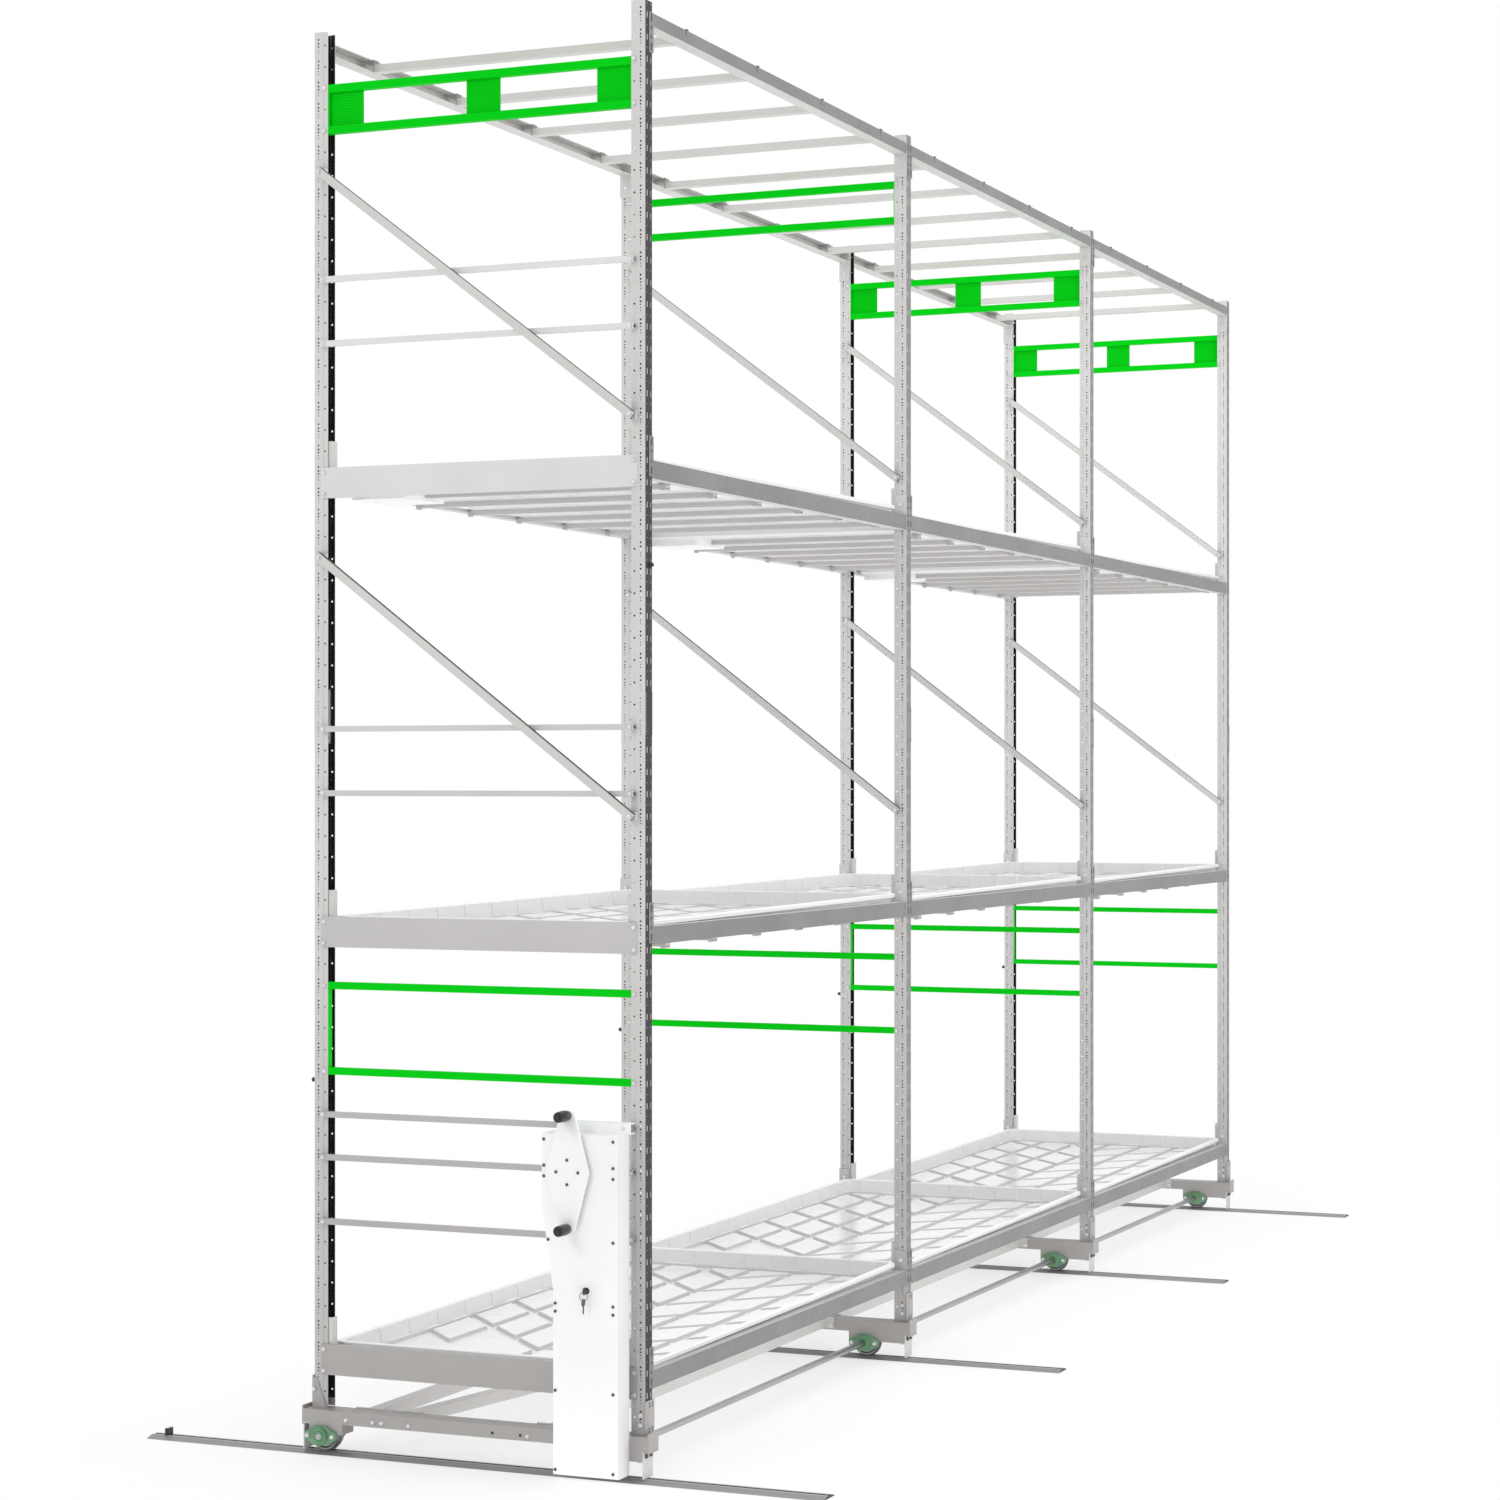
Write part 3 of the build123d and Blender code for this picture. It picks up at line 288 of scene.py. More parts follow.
def face_shaded_coat(name, colour, near_shade_colour, far_shade_colour, upper=False):
    """Painted section: pale flanges, and darker outward faces, which get paler past the first frame. The darker
    faces are painted shade, their paling along Y is a painted reflection, and the pale faces darken towards the
    floor with painted shade. With upper, the faces that look up are the darker ones."""
    material, nodes, links, shader = node_tree(name)
    geometry = nodes.new("ShaderNodeNewGeometry")
    normal = nodes.new("ShaderNodeSeparateXYZ")
    links.new(geometry.outputs["True Normal"], normal.inputs["Vector"])
    coordinates = nodes.new("ShaderNodeTexCoord")
    place = nodes.new("ShaderNodeSeparateXYZ")
    links.new(coordinates.outputs["Object"], place.inputs["Vector"])
    cloud = noise(nodes, links, 2.0)
    # Painted shade: the pale faces darken towards the floor.
    low_shade = tinted(nodes, links, colour, cloud, 0.72, 0.80)
    upper_lit = tinted(nodes, links, colour, cloud, 0.96, 1.05)
    pale = blend_along(nodes, links, place.outputs["Z"], 0.2, 2.0, low_shade, upper_lit)
    # Painted shade on the outward faces, paler further along Y as a painted reflection.
    near = tinted(nodes, links, near_shade_colour, noise(nodes, links, 3.0), 0.9, 1.1)
    far = tinted(nodes, links, far_shade_colour, noise(nodes, links, 3.0), 0.92, 1.08)
    dark = blend_along(nodes, links, place.outputs["Y"], 0.2, 1.6, near, far)
    if upper:
        result = blend_along(nodes, links, normal.outputs["Z"], 0.5, 0.7, pale, dark)
    else:
        outward = nodes.new("ShaderNodeMath")
        outward.operation = "MULTIPLY"
        links.new(normal.outputs["X"], outward.inputs[0])
        links.new(place.outputs["X"], outward.inputs[1])
        result = blend_along(nodes, links, outward.outputs["Value"], 0.45, 0.57, pale, dark)
    links.new(result, shader.inputs["Base Color"])
    links.new(spread(nodes, links, noise(nodes, links, 30.0), 0.38, 0.5), shader.inputs["Roughness"])
    shader.inputs["Specular IOR Level"].default_value = 0.2
    bumped(nodes, links, shader, noise(nodes, links, 120.0), 0.04, 0.0003)
    return material


def perforated_paint(name, colour, hole_shade_colour, pitch):
    """Paint on a sheet with a fine grid of small holes, which faces along Y. The holes are dots of a darker
    colour: painted shade.
    """
    material, nodes, links, shader = node_tree(name)
    coordinates = nodes.new("ShaderNodeTexCoord")
    scaled = nodes.new("ShaderNodeVectorMath")
    scaled.operation = "MULTIPLY"
    scaled.inputs[1].default_value = (1 / pitch, 0, 1 / pitch)
    links.new(coordinates.outputs["Object"], scaled.inputs[0])
    within = nodes.new("ShaderNodeVectorMath")
    within.operation = "FRACTION"
    links.new(scaled.outputs["Vector"], within.inputs[0])
    centred = nodes.new("ShaderNodeVectorMath")
    centred.operation = "SUBTRACT"
    centred.inputs[1].default_value = (0.5, 0, 0.5)
    links.new(within.outputs["Vector"], centred.inputs[0])
    distance = nodes.new("ShaderNodeVectorMath")
    distance.operation = "LENGTH"
    links.new(centred.outputs["Vector"], distance.inputs[0])
    edge = nodes.new("ShaderNodeMapRange")
    edge.inputs["From Min"].default_value = 0.24
    edge.inputs["From Max"].default_value = 0.30
    links.new(distance.outputs["Value"], edge.inputs["Value"])
    mix = nodes.new("ShaderNodeMix")
    mix.data_type = "RGBA"
    mix.inputs["A"].default_value = (*hole_shade_colour, 1)
    links.new(edge.outputs["Result"], mix.inputs["Factor"])
    links.new(tinted(nodes, links, colour, noise(nodes, links, 3.0), 0.96, 1.03), mix.inputs["B"])
    links.new(mix.outputs["Result"], shader.inputs["Base Color"])
    shader.inputs["Roughness"].default_value = 0.5
    shader.inputs["Specular IOR Level"].default_value = 0.05
    return material


def rail_steel(name, top_colour, slope_shade_colour):
    """Rolled rail, paler on top and near black on its slopes: painted reflection and painted shade."""
    material, nodes, links, shader = node_tree(name)
    geometry = nodes.new("ShaderNodeNewGeometry")
    split = nodes.new("ShaderNodeSeparateXYZ")
    links.new(geometry.outputs["True Normal"], split.inputs["Vector"])
    slope = nodes.new("ShaderNodeMapRange")
    slope.inputs["From Min"].default_value = 0.9
    slope.inputs["From Max"].default_value = 0.99
    links.new(split.outputs["Z"], slope.inputs["Value"])
    mix = nodes.new("ShaderNodeMix")
    mix.data_type = "RGBA"
    links.new(slope.outputs["Result"], mix.inputs["Factor"])
    marks = noise(nodes, links, 60.0, 4.0, (0.02, 1, 1))
    links.new(tinted(nodes, links, slope_shade_colour, marks, 0.6, 1.5), mix.inputs["A"])
    links.new(tinted(nodes, links, top_colour, marks, 0.85, 1.1), mix.inputs["B"])
    links.new(mix.outputs["Result"], shader.inputs["Base Color"])
    links.new(spread(nodes, links, marks, 0.3, 0.5), shader.inputs["Roughness"])
    return material


def moulded(name, colour, roughness=0.4, translucent=0.0):
    """Moulded plastic with faint flow marks and a fine grain."""
    material, nodes, links, shader = node_tree(name)
    flow = noise(nodes, links, 1.6, 2.0)
    links.new(tinted(nodes, links, colour, flow, 0.98, 1.02), shader.inputs["Base Color"])
    links.new(spread(nodes, links, noise(nodes, links, 12.0), roughness - 0.05, roughness + 0.06),
              shader.inputs["Roughness"])
    shader.inputs["Subsurface Weight"].default_value = translucent
    shader.inputs["Subsurface Radius"].default_value = (0.01, 0.01, 0.012)
    bumped(nodes, links, shader, noise(nodes, links, 90.0), 0.02, 0.0003)
    return material


def worked_steel(name, colour, roughness, stretch, metal=1.0):
    """Bare steel with the fine marks of drawing or turning."""
    material, nodes, links, shader = node_tree(name)
    marks = noise(nodes, links, 60.0, 4.0, stretch)
    links.new(tinted(nodes, links, colour, marks, 0.82, 1.12), shader.inputs["Base Color"])
    links.new(spread(nodes, links, marks, roughness - 0.08, roughness + 0.1), shader.inputs["Roughness"])
    shader.inputs["Metallic"].default_value = metal
    bumped(nodes, links, shader, noise(nodes, links, 200.0, 4.0, stretch), 0.15, 0.0002)
    return material


def cast_paint(name, colour):
    """Painted casting with a coarse skin."""
    material, nodes, links, shader = node_tree(name)
    skin = noise(nodes, links, 180.0, 5.0)
    links.new(tinted(nodes, links, colour, noise(nodes, links, 25.0), 0.85, 1.15), shader.inputs["Base Color"])
    links.new(spread(nodes, links, skin, 0.35, 0.55), shader.inputs["Roughness"])
    bumped(nodes, links, shader, skin, 0.35, 0.0006)
    return material


def make_finishes():
    """Every finish of the rack, by name."""
    colours = bpy.context.scene.rack_colours
    return {
        "steel": powder_coat("painted_steel", colours.steel, 0.42),
        # Fronts: painted shade near the floor, rising to painted light at the top.
        "front": height_shaded_coat("front_steel_height_shade", colours.shaded_low_front, colours.lit_high_front, 3.6),
        # Posts, beams and diagonals: their darker faces are painted shade.
        "post": face_shaded_coat("post_paint", colours.steel, [share * 0.5 for share in colours.web], colours.beam_side_shade),
        # Near-black inside of the posts: painted shade in the section.
        "inside": powder_coat("post_inside_shade", [share * 0.25 for share in colours.web], 0.6, 0.1),
        "slots": powder_coat("post_slots", [share * 0.8 for share in colours.steel], 0.5),
        "beam": face_shaded_coat("beam_paint", colours.steel, colours.beam_side_shade, colours.beam_side_shade),
        "pale": powder_coat("pale_steel", colours.pale, 0.42),
        "diagonal": face_shaded_coat("diagonal_steel", colours.pale, colours.web, colours.web, True),
        "bars": powder_coat("cross_bar_steel", colours.bars, 0.42),
        "tray": moulded("tray_plastic", colours.tray, 0.2, 0.1),
        "column": powder_coat("column_paint", colours.column, 0.5),
        # Darker copy of the column paint for the faces that look along +X: painted shade.
        "column_side": powder_coat("column_side_shade", [share * 0.8 for share in colours.column], 0.5),
        "green": powder_coat("green_paint", colours.green, 0.5, 0.05),
        # Dark green dots: painted shade where the plates' holes are.
        "green_sheet": perforated_paint("green_sheet", colours.green, (0.0, 0.32, 0.0), 0.009),
        "bearing": cast_paint("bearing_paint", colours.bearing),
        "black": moulded("black_plastic", (0.012, 0.012, 0.012), 0.25),
        # Black of the pins, and painted shade for the marks of holes.
        "hole": powder_coat("black_paint", (0.03, 0.03, 0.032), 0.4),
        "hook": powder_coat("hook_steel", (0.22, 0.215, 0.21), 0.4),
        "bright": worked_steel("bright_steel", (0.78, 0.78, 0.80), 0.28, (1, 1, 1)),
        "screw": worked_steel("dark_screws", (0.16, 0.16, 0.165), 0.38, (1, 1, 1)),
        "shaft": worked_steel("drawn_shaft", (0.45, 0.45, 0.46), 0.3, (1, 0.02, 1)),
        "wheel": worked_steel("turned_iron", (0.30, 0.30, 0.30), 0.42, (1, 4, 1)),
        "chain": worked_steel("oiled_chain", (0.12, 0.12, 0.125), 0.35, (1, 1, 1)),
        # Rails: painted reflection on top, painted shade on the slopes.
        "rail": rail_steel("floor_rail_steel", (0.38, 0.375, 0.38), (0.012, 0.012, 0.012)),
        # Greyer plastic for the sides of the raised blocks and for the walls and ribs: painted shade.
        "channel": moulded("tray_channel_shade", [share * 0.62 for share in colours.tray], 0.4),
        "wall": moulded("tray_wall_shade", [share * 0.84 for share in colours.tray], 0.4),
    }


def finish(name):
    """A finish, made with the others the first time that one is asked for."""
    if not FINISHES:
        FINISHES.update(make_finishes())
    return FINISHES[name]


FINISHES = {}
NODE_FINISH = {
    "floor_rails": "rail", "rail_end_stops": "rail", "drive_shaft": "shaft", "drive_wheels": "wheel",
    "shaft_sprocket": "chain", "idle_wheel_1": "wheel", "idle_wheel_2": "wheel", "idle_wheel_3": "wheel",
    "idle_wheel_4": "wheel", "flanged_bearings": "bearing", "base_beams": "front", "wheel_housings": "front",
    "rail_guards": "steel", "base_ties": "pale", "diagonal_base_ties": "pale", "lower_posts": "post",
    "upper_posts": "post", "post_sleeves": "post", "post_feet": "front", "lower_side_beams": "beam",
    "middle_side_beams": "beam", "upper_side_beams": "beam", "lower_connectors": "beam",
    "middle_connectors": "beam", "upper_connectors": "beam", "lower_cross_bars": "bars",
    "middle_cross_bars": "bars", "upper_cross_bars": "bars", "lower_trays": "tray", "middle_trays": "tray",
    "upper_trays": "tray", "top_beams": "beam", "top_connectors": "beam", "light_bars": "pale",
    "light_bar_hooks": "hook", "fascias": "front", "level_braces": "front", "diagonal_braces": "diagonal",
    "upper_green_frames": "green", "green_plates": "green_sheet", "lower_green_frames": "green",
    "crank_column": "column", "column_back": "column", "column_bracket": "column", "crank_bush": "screw",
    "column_lock": "bright", "drive_chain": "chain", "crank_plate": "column", "crank_shaft": "bright",
    "crank_sprocket": "chain", "grip_pins": "black", "upper_grip": "black", "lower_grip": "black",
    "lock_plug": "bright", "lock_key": "bright", "key_ring": "bright",
}


# Mesh helpers


def piece(name, corners, faces, finish_name=None, smooth=False):
    """New mesh object, linked to the scene, with its faces turned outwards."""
    mesh = bpy.data.meshes.new(name)
    mesh.from_pydata([tuple(corner) for corner in corners], [], faces)
    shape = bmesh.new()
    shape.from_mesh(mesh)
    bmesh.ops.remove_doubles(shape, verts=shape.verts, dist=1e-6)
    bmesh.ops.recalc_face_normals(shape, faces=shape.faces)
    shape.to_mesh(mesh)
    shape.free()
    made = bpy.data.objects.new(name, mesh)
    bpy.context.scene.collection.objects.link(made)
    if finish_name:
        mesh.materials.append(finish(finish_name))
    if smooth:
        smooth_by_angle(made)
    return made


def smooth_by_angle(made, angle=35):
    made.data.shade_smooth()
    shape = bmesh.new()
    shape.from_mesh(made.data)
    limit = radians(angle)
    for edge in shape.edges:
        edge.smooth = len(edge.link_faces) == 2 and edge.calc_face_angle(0) < limit
    shape.to_mesh(made.data)
    shape.free()


class Shape:
    """Corners and faces of a mesh that is put together from simple forms."""

    def __init__(self):
        self.corners = []
        self.faces = []

    def add(self, corners, faces):
        start = len(self.corners)
        self.corners += [Vector(corner) for corner in corners]
        self.faces += [tuple(start + index for index in face) for face in faces]

    def box(self, lowest, highest):
        corners = [(x, y, z) for x in (lowest[0], highest[0]) for y in (lowest[1], highest[1])
                   for z in (lowest[2], highest[2])]
        self.add(corners, [(0, 1, 3, 2), (4, 6, 7, 5), (0, 4, 5, 1), (2, 3, 7, 6), (0, 2, 6, 4), (1, 5, 7, 3)])

    def rings(self, rings, closed_ends=True):
        """Skin over rings of equally many points."""
        count = len(rings[0])
        faces = []
        for level in range(len(rings) - 1):
            for index in range(count):
                after = (index + 1) % count
                base = level * count
                faces.append((base + index, base + after, base + count + after, base + count + index))
        if closed_ends:
            faces.append(tuple(range(count))[::-1])
            faces.append(tuple(range((len(rings) - 1) * count, len(rings) * count)))
        self.add([point for ring in rings for point in ring], faces)

    def lathe(self, centre, profile, steps=40):
        """Round form about an axis along Y: the profile gives pairs of radius and Y offset."""
        rings = []
        for radius, offset in profile:
            rings.append([
                (centre[0] + radius * cos(2 * pi * step / steps), centre[1] + offset,
                 centre[2] + radius * sin(2 * pi * step / steps))
                for step in range(steps)
            ])
        self.rings(rings, closed_ends=False)
        return rings

    def disc(self, centre, profile, steps=40):
        """Solid round form about an axis along Y, closed at both ends."""
        rings = self.lathe(centre, profile, steps)
        for ring in (rings[0], rings[-1]):
            self.add(ring, [tuple(range(len(ring)))])


def rounded(points, radius, steps=5):
    """Outline with every corner rounded off."""
    made = []
    count = len(points)
    for index in range(count):
        before = Vector(points[index - 1])
        here = Vector(points[index])
        after = Vector(points[(index + 1) % count])
        back = (before - here).normalized()
        forth = (after - here).normalized()
        half = back.angle(forth) / 2
        reach = min(radius / tan(half), (before - here).length * 0.49, (after - here).length * 0.49)
        middle = here + (back + forth).normalized() * hypot(reach, reach * tan(half))
        start = here + back * reach - middle
        end = here + forth * reach - middle
        for step in range(steps + 1):
            share = step / steps
            turned = (start * (1 - share) + end * share).normalized() * (start.length)
            made.append(tuple(middle + turned))
    return made


def plate_rings(shape, outline, back, front, edge, place):
    """Plate with a softened front edge: an outline in X and Z, drawn anticlockwise, from back to front."""
    rings = []
    for amount, y in ((0.0, back), (0.0, front + edge), (edge * 0.3, front + edge * 0.3), (edge, front)):
        rings.append([(place[0] + x, y, place[1] + z) for x, z in inset(outline, amount)])
    shape.rings(rings)


def circle(centre, radius, count):
    """Points round a circle in two dimensions."""
    return [(centre[0] + radius * cos(2 * pi * index / count), centre[1] + radius * sin(2 * pi * index / count))
            for index in range(count)]


def stadium(centre, width, height, count=5):
    """Points round an upright slot with round ends."""
    radius = width / 2
    reach = height / 2 - radius
    points = []
    for index in range(count + 1):
        turn = pi * index / count
        points.append((centre[0] + radius * cos(turn), centre[1] + reach + radius * sin(turn)))
    for index in range(count + 1):
        turn = pi + pi * index / count
        points.append((centre[0] + radius * cos(turn), centre[1] - reach + radius * sin(turn)))
    return points


# Geometry Nodes: one tree repeats a unit along a step at every point of a mesh


def repeat_tree():
    """Tree that lays out a unit in a row, copies the row to each point and turns it as the point says."""
    if "Repeat Unit" in bpy.data.node_groups:
        return bpy.data.node_groups["Repeat Unit"]
    tree = bpy.data.node_groups.new("Repeat Unit", "GeometryNodeTree")
    face = tree.interface
    face.new_socket("Geometry", in_out="INPUT", socket_type="NodeSocketGeometry")
    face.new_socket("Unit", in_out="INPUT", socket_type="NodeSocketObject")
    face.new_socket("Count", in_out="INPUT", socket_type="NodeSocketInt")
    face.new_socket("Step", in_out="INPUT", socket_type="NodeSocketVector")
    face.new_socket("Finish", in_out="INPUT", socket_type="NodeSocketMaterial")
    face.new_socket("Geometry", in_out="OUTPUT", socket_type="NodeSocketGeometry")
    nodes = tree.nodes
    links = tree.links
    start = nodes.new("NodeGroupInput")
    end = nodes.new("NodeGroupOutput")
    unit = nodes.new("GeometryNodeObjectInfo")
    links.new(start.outputs["Unit"], unit.inputs["Object"])
    row = nodes.new("GeometryNodeMeshLine")
    links.new(start.outputs["Count"], row.inputs["Count"])
    links.new(start.outputs["Step"], row.inputs["Offset"])
    in_row = nodes.new("GeometryNodeInstanceOnPoints")
    links.new(row.outputs["Mesh"], in_row.inputs["Points"])
    links.new(unit.outputs["Geometry"], in_row.inputs["Instance"])
    turn = nodes.new("GeometryNodeInputNamedAttribute")
    turn.data_type = "FLOAT_VECTOR"
    turn.inputs["Name"].default_value = "turn"
    to_rotation = nodes.new("FunctionNodeEulerToRotation")
    links.new(turn.outputs["Attribute"], to_rotation.inputs["Euler"])
    placed = nodes.new("GeometryNodeInstanceOnPoints")
    links.new(start.outputs["Geometry"], placed.inputs["Points"])
    links.new(in_row.outputs["Instances"], placed.inputs["Instance"])
    links.new(to_rotation.outputs["Rotation"], placed.inputs["Rotation"])
    realise = nodes.new("GeometryNodeRealizeInstances")
    links.new(placed.outputs["Instances"], realise.inputs["Geometry"])
    paint = nodes.new("GeometryNodeSetMaterial")
    links.new(realise.outputs["Geometry"], paint.inputs["Geometry"])
    links.new(start.outputs["Finish"], paint.inputs["Material"])
    links.new(paint.outputs["Geometry"], end.inputs["Geometry"])
    return tree


def repeated(name, unit, places, finish_name, count=1, step=(0, 0, 0), smooth=False):
    """Mesh of the unit at every place, a pair of a point and a turn. The unit is removed afterwards."""
    carrier_mesh = bpy.data.meshes.new(name + "_points")
    carrier_mesh.from_pydata([tuple(point) for point, turn in places], [], [])
    turns = carrier_mesh.attributes.new("turn", "FLOAT_VECTOR", "POINT")
    turns.data.foreach_set("vector", [value for point, turn in places for value in turn])
    carrier = bpy.data.objects.new(name + "_points", carrier_mesh)
    bpy.context.scene.collection.objects.link(carrier)
    modifier = carrier.modifiers.new("Repeat", "NODES")
    tree = repeat_tree()
    modifier.node_group = tree
    values = {"Unit": unit, "Count": count, "Step": step, "Finish": finish(finish_name)}
    for socket in tree.interface.items_tree:
        if socket.in_out == "INPUT" and socket.name in values:
            modifier[socket.identifier] = values[socket.name]
    evaluated = carrier.evaluated_get(bpy.context.evaluated_depsgraph_get())
    mesh = bpy.data.meshes.new_from_object(evaluated)
    mesh.name = name
    made = bpy.data.objects.new(name, mesh)
    bpy.context.scene.collection.objects.link(made)
    bpy.data.objects.remove(carrier)
    bpy.data.objects.remove(unit)
    if smooth:
        smooth_by_angle(made)
    return made


# Turns that make a unit, drawn facing -Y, face another way
FACE_FRONT = (0, 0, 0)
FACE_BACK = (0, 0, pi)
FACE_RIGHT = (0, 0, pi / 2)
FACE_LEFT = (0, 0, -pi / 2)


# Posts


def perforated_sheet(shape, inside, width, height, holes, thickness, corner, across, outward):
    """Sheet with holes, whose inner skin goes into a shape of its own. The lower corner, the direction
    across and the outward direction are given."""
    corner = Vector(corner)
    across = Vector(across)
    outward = Vector(outward)
    up = Vector((0, 0, 1))
    loops = [[(0, 0), (width, 0), (width, height), (0, height)]] + holes
    flat = [point for loop in loops for point in loop]
    triangles = tessellate_polygon([[Vector((u, v, 0)) for u, v in loop] for loop in loops])
    outer = [corner + across * u + up * v for u, v in flat]
    inner = [point - outward * thickness for point in outer]
    front = []
    for a, b, c in triangles:
        normal = (outer[b] - outer[a]).cross(outer[c] - outer[a])
        front.append((a, b, c) if normal.dot(outward) > 0 else (c, b, a))
    count = len(outer)
    back = [(c + count, b + count, a + count) for a, b, c in front]
    walls = []
    start = len(loops[0])
    for loop in holes:
        size = len(loop)
        middle = sum((outer[start + index] for index in range(size)), Vector()) / size
        for index in range(size):
            a = start + index
            b = start + (index + 1) % size
            quad = (a, b, b + count, a + count)
            normal = (outer[b] - outer[a]).cross(inner[b] - outer[a])
            towards = middle - (outer[a] + outer[b]) / 2
            walls.append(quad if normal.dot(towards) > 0 else quad[::-1])
        start += size
    shape.add(outer + inner, front + walls)
    inside.add(outer + inner, back)


def raw_piece(name, shape):
    """Mesh object of a shape whose faces already point the right way."""
    mesh = bpy.data.meshes.new(name)
    mesh.from_pydata([tuple(corner) for corner in shape.corners], [], shape.faces)
    made = bpy.data.objects.new(name, mesh)
    bpy.context.scene.collection.objects.link(made)
    return made


def post_units(see_through):
    """One pitch of a right post, outer skin and inner skin. Its origin is on the outer face, at a bolt
    hole's height. The slots of the web are open where one can see through them."""
    sizes = bpy.context.scene.rack_sizes
    half = POST_WIDTH / 2
    wall = 0.0025
    bend = 0.004
    flange = 0.034
    step = 0.003
    depth = 0.053
    start = -0.030
    shape = Shape()
    lining = Shape()
    big = sizes.hole_radius
    small = big * 0.6
    column = flange - 0.017
    marks = [(0.021, big), (0.007, big), (-0.004, big * 0.94), (-0.015, small), (-0.025, small)]
    for side in SIDES:
        outward = (0, side, 0)
        holes = [circle((column, offset - start), radius, 8) for offset, radius in marks]
        perforated_sheet(shape, lining, flange - bend, HOLE_PITCH, holes, wall,
                         (-flange, side * half, start), (1, 0, 0), outward)
        bolt = circle((depth - 0.0415, -start), 0.0036, 10)
        perforated_sheet(shape, lining, depth - flange - step, HOLE_PITCH, [bolt], wall,
                         (-depth, side * (half - step), start), (1, 0, 0), outward)
        section = [(-flange - step, side * (half - step)), (-flange, side * half)]
        inside = [(x, y - side * wall) for x, y in section]
        strip(shape, section, start, start + HOLE_PITCH, Vector((-1, side, 0)))
        strip(shape, inside, start, start + HOLE_PITCH, Vector((1, -side, 0)))
        turns = [index * pi / 6 for index in range(4)]
        rounded = [(-bend + bend * sin(turn), side * (half - bend + bend * cos(turn))) for turn in turns]
        for first, second in zip(rounded, rounded[1:]):
            strip(shape, [first, second], start, start + HOLE_PITCH, Vector((1, side, 0)))
        lip = [(-depth, side * (half - step)), (-depth, side * (half - step - wall))]
        strip(shape, lip, start, start + HOLE_PITCH, Vector((-1, 0, 0)))
    web_holes = []
    for place in (-0.0145, 0.0145):
        across = place + half - bend
        if see_through:
            web_holes.append(stadium((across, -start - 0.002), 0.010, sizes.slot_height))
        web_holes.append(circle((across, 0.0375 - start), 0.003, 8))
    perforated_sheet(shape, lining, 2 * (half - bend), HOLE_PITCH, web_holes, wall,
                     (0, -half + bend, start), (0, 1, 0), (1, 0, 0))
    return raw_piece("post_unit", shape), raw_piece("post_lining_unit", lining)


def strip(shape, section, bottom, top, towards):
    """Upright strip between two points of a plan, facing a given way."""
    (ax, ay), (bx, by) = section
    corners = [Vector((ax, ay, bottom)), Vector((bx, by, bottom)), Vector((bx, by, top)), Vector((ax, ay, top))]
    normal = (corners[1] - corners[0]).cross(corners[2] - corners[0])
    face = (0, 1, 2, 3) if normal.dot(towards) > 0 else (3, 2, 1, 0)
    shape.add(corners, [face])


def plain_post(shape, x, y, side, bottom, top):
    """Short closed length of post with no holes."""
    half = POST_WIDTH / 2
    outline = [(-0.053, half - 0.003), (-0.037, half - 0.003), (-0.034, half), (-0.003, half), (0, half - 0.003)]
    outer = outline + [(a, -b) for a, b in reversed(outline)]
    inner = [(-0.053, half - 0.0055), (-0.036, half - 0.0055), (-0.033, half - 0.0025), (-0.0025, half - 0.0025)]
    inner += [(a, -b) for a, b in reversed(inner)]
    plan = outer + inner[::-1]
    rings = [[(x + side * a, y + b, z) for a, b in plan] for z in (bottom, top)]
    shape.rings(rings)


class RACK_OT_posts(bpy.types.Operator):
    """Make the perforated posts"""

    bl_idname = "rack.posts"
    bl_label = "Perforated Posts"

    def execute(self, context):
        count = round((SPLICE_Z - FIRST_HOLE + 0.030) / HOLE_PITCH)
        total = int((POST_TOP - FIRST_HOLE + 0.030) / HOLE_PITCH)
        for node, first, units in (("lower_posts", 0, count), ("upper_posts", count, total - count)):
            for side, word in zip(SIDES, ("left", "right")):
                places = []
                for index in range(FRAME_COUNT):
                    point = (side * POST_X, frame_y(index) + POST_Y, hole_z(first))
                    places.append((point, (0, 0, 0 if side > 0 else pi)))
                # The inner skin takes the near-black inside finish, which is painted shade.
                skins = zip(post_units(side < 0), ("post", "inside"), ("punched", "lining"))
                for unit, finish_name, part in skins:
                    name = f"{node}_{word}_{part}"
                    made = repeated(name, unit, places, finish_name, units, (0, 0, HOLE_PITCH))
                    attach(made, "carriage")
                    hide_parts(node)
        self.slot_marks(total)
        ends = Shape()
        for index in range(FRAME_COUNT):
            for side in SIDES:
                y = frame_y(index) + POST_Y
                plain_post(ends, side * POST_X, y, side, BASE_TOP, hole_z(0) - 0.030)
                plain_post(ends, side * POST_X, y, side, hole_z(total) - 0.030, POST_TOP)
        made = piece("post_ends", ends.corners, ends.faces, "post")
        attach(made, "carriage")
        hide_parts("upper_posts")
        return {"FINISHED"}

    def slot_marks(self, total):
        """Slots of the right posts, which show the pale inside of the flange behind them."""
        height = bpy.context.scene.rack_sizes.slot_height
        for word, across, width in (("front", -0.0145, 0.0055), ("rear", 0.0145, 0.003)):
            shape = Shape()
            outline = stadium((0, 0), width, height)
            shape.rings([[(x, y, z) for x, z in outline] for y in (0.0004, -0.0004)])
            unit = piece("post_slot_unit", shape.corners, shape.faces)
            places = []
            for index in range(FRAME_COUNT):
                y = frame_y(index) + POST_Y + across
                places.append(((POST_X, y, hole_z(0) - 0.002), FACE_RIGHT))
            made = repeated(f"post_slots_{word}", unit, places, "slots", total, (0, 0, HOLE_PITCH))
            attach(made, "carriage")


# Trays


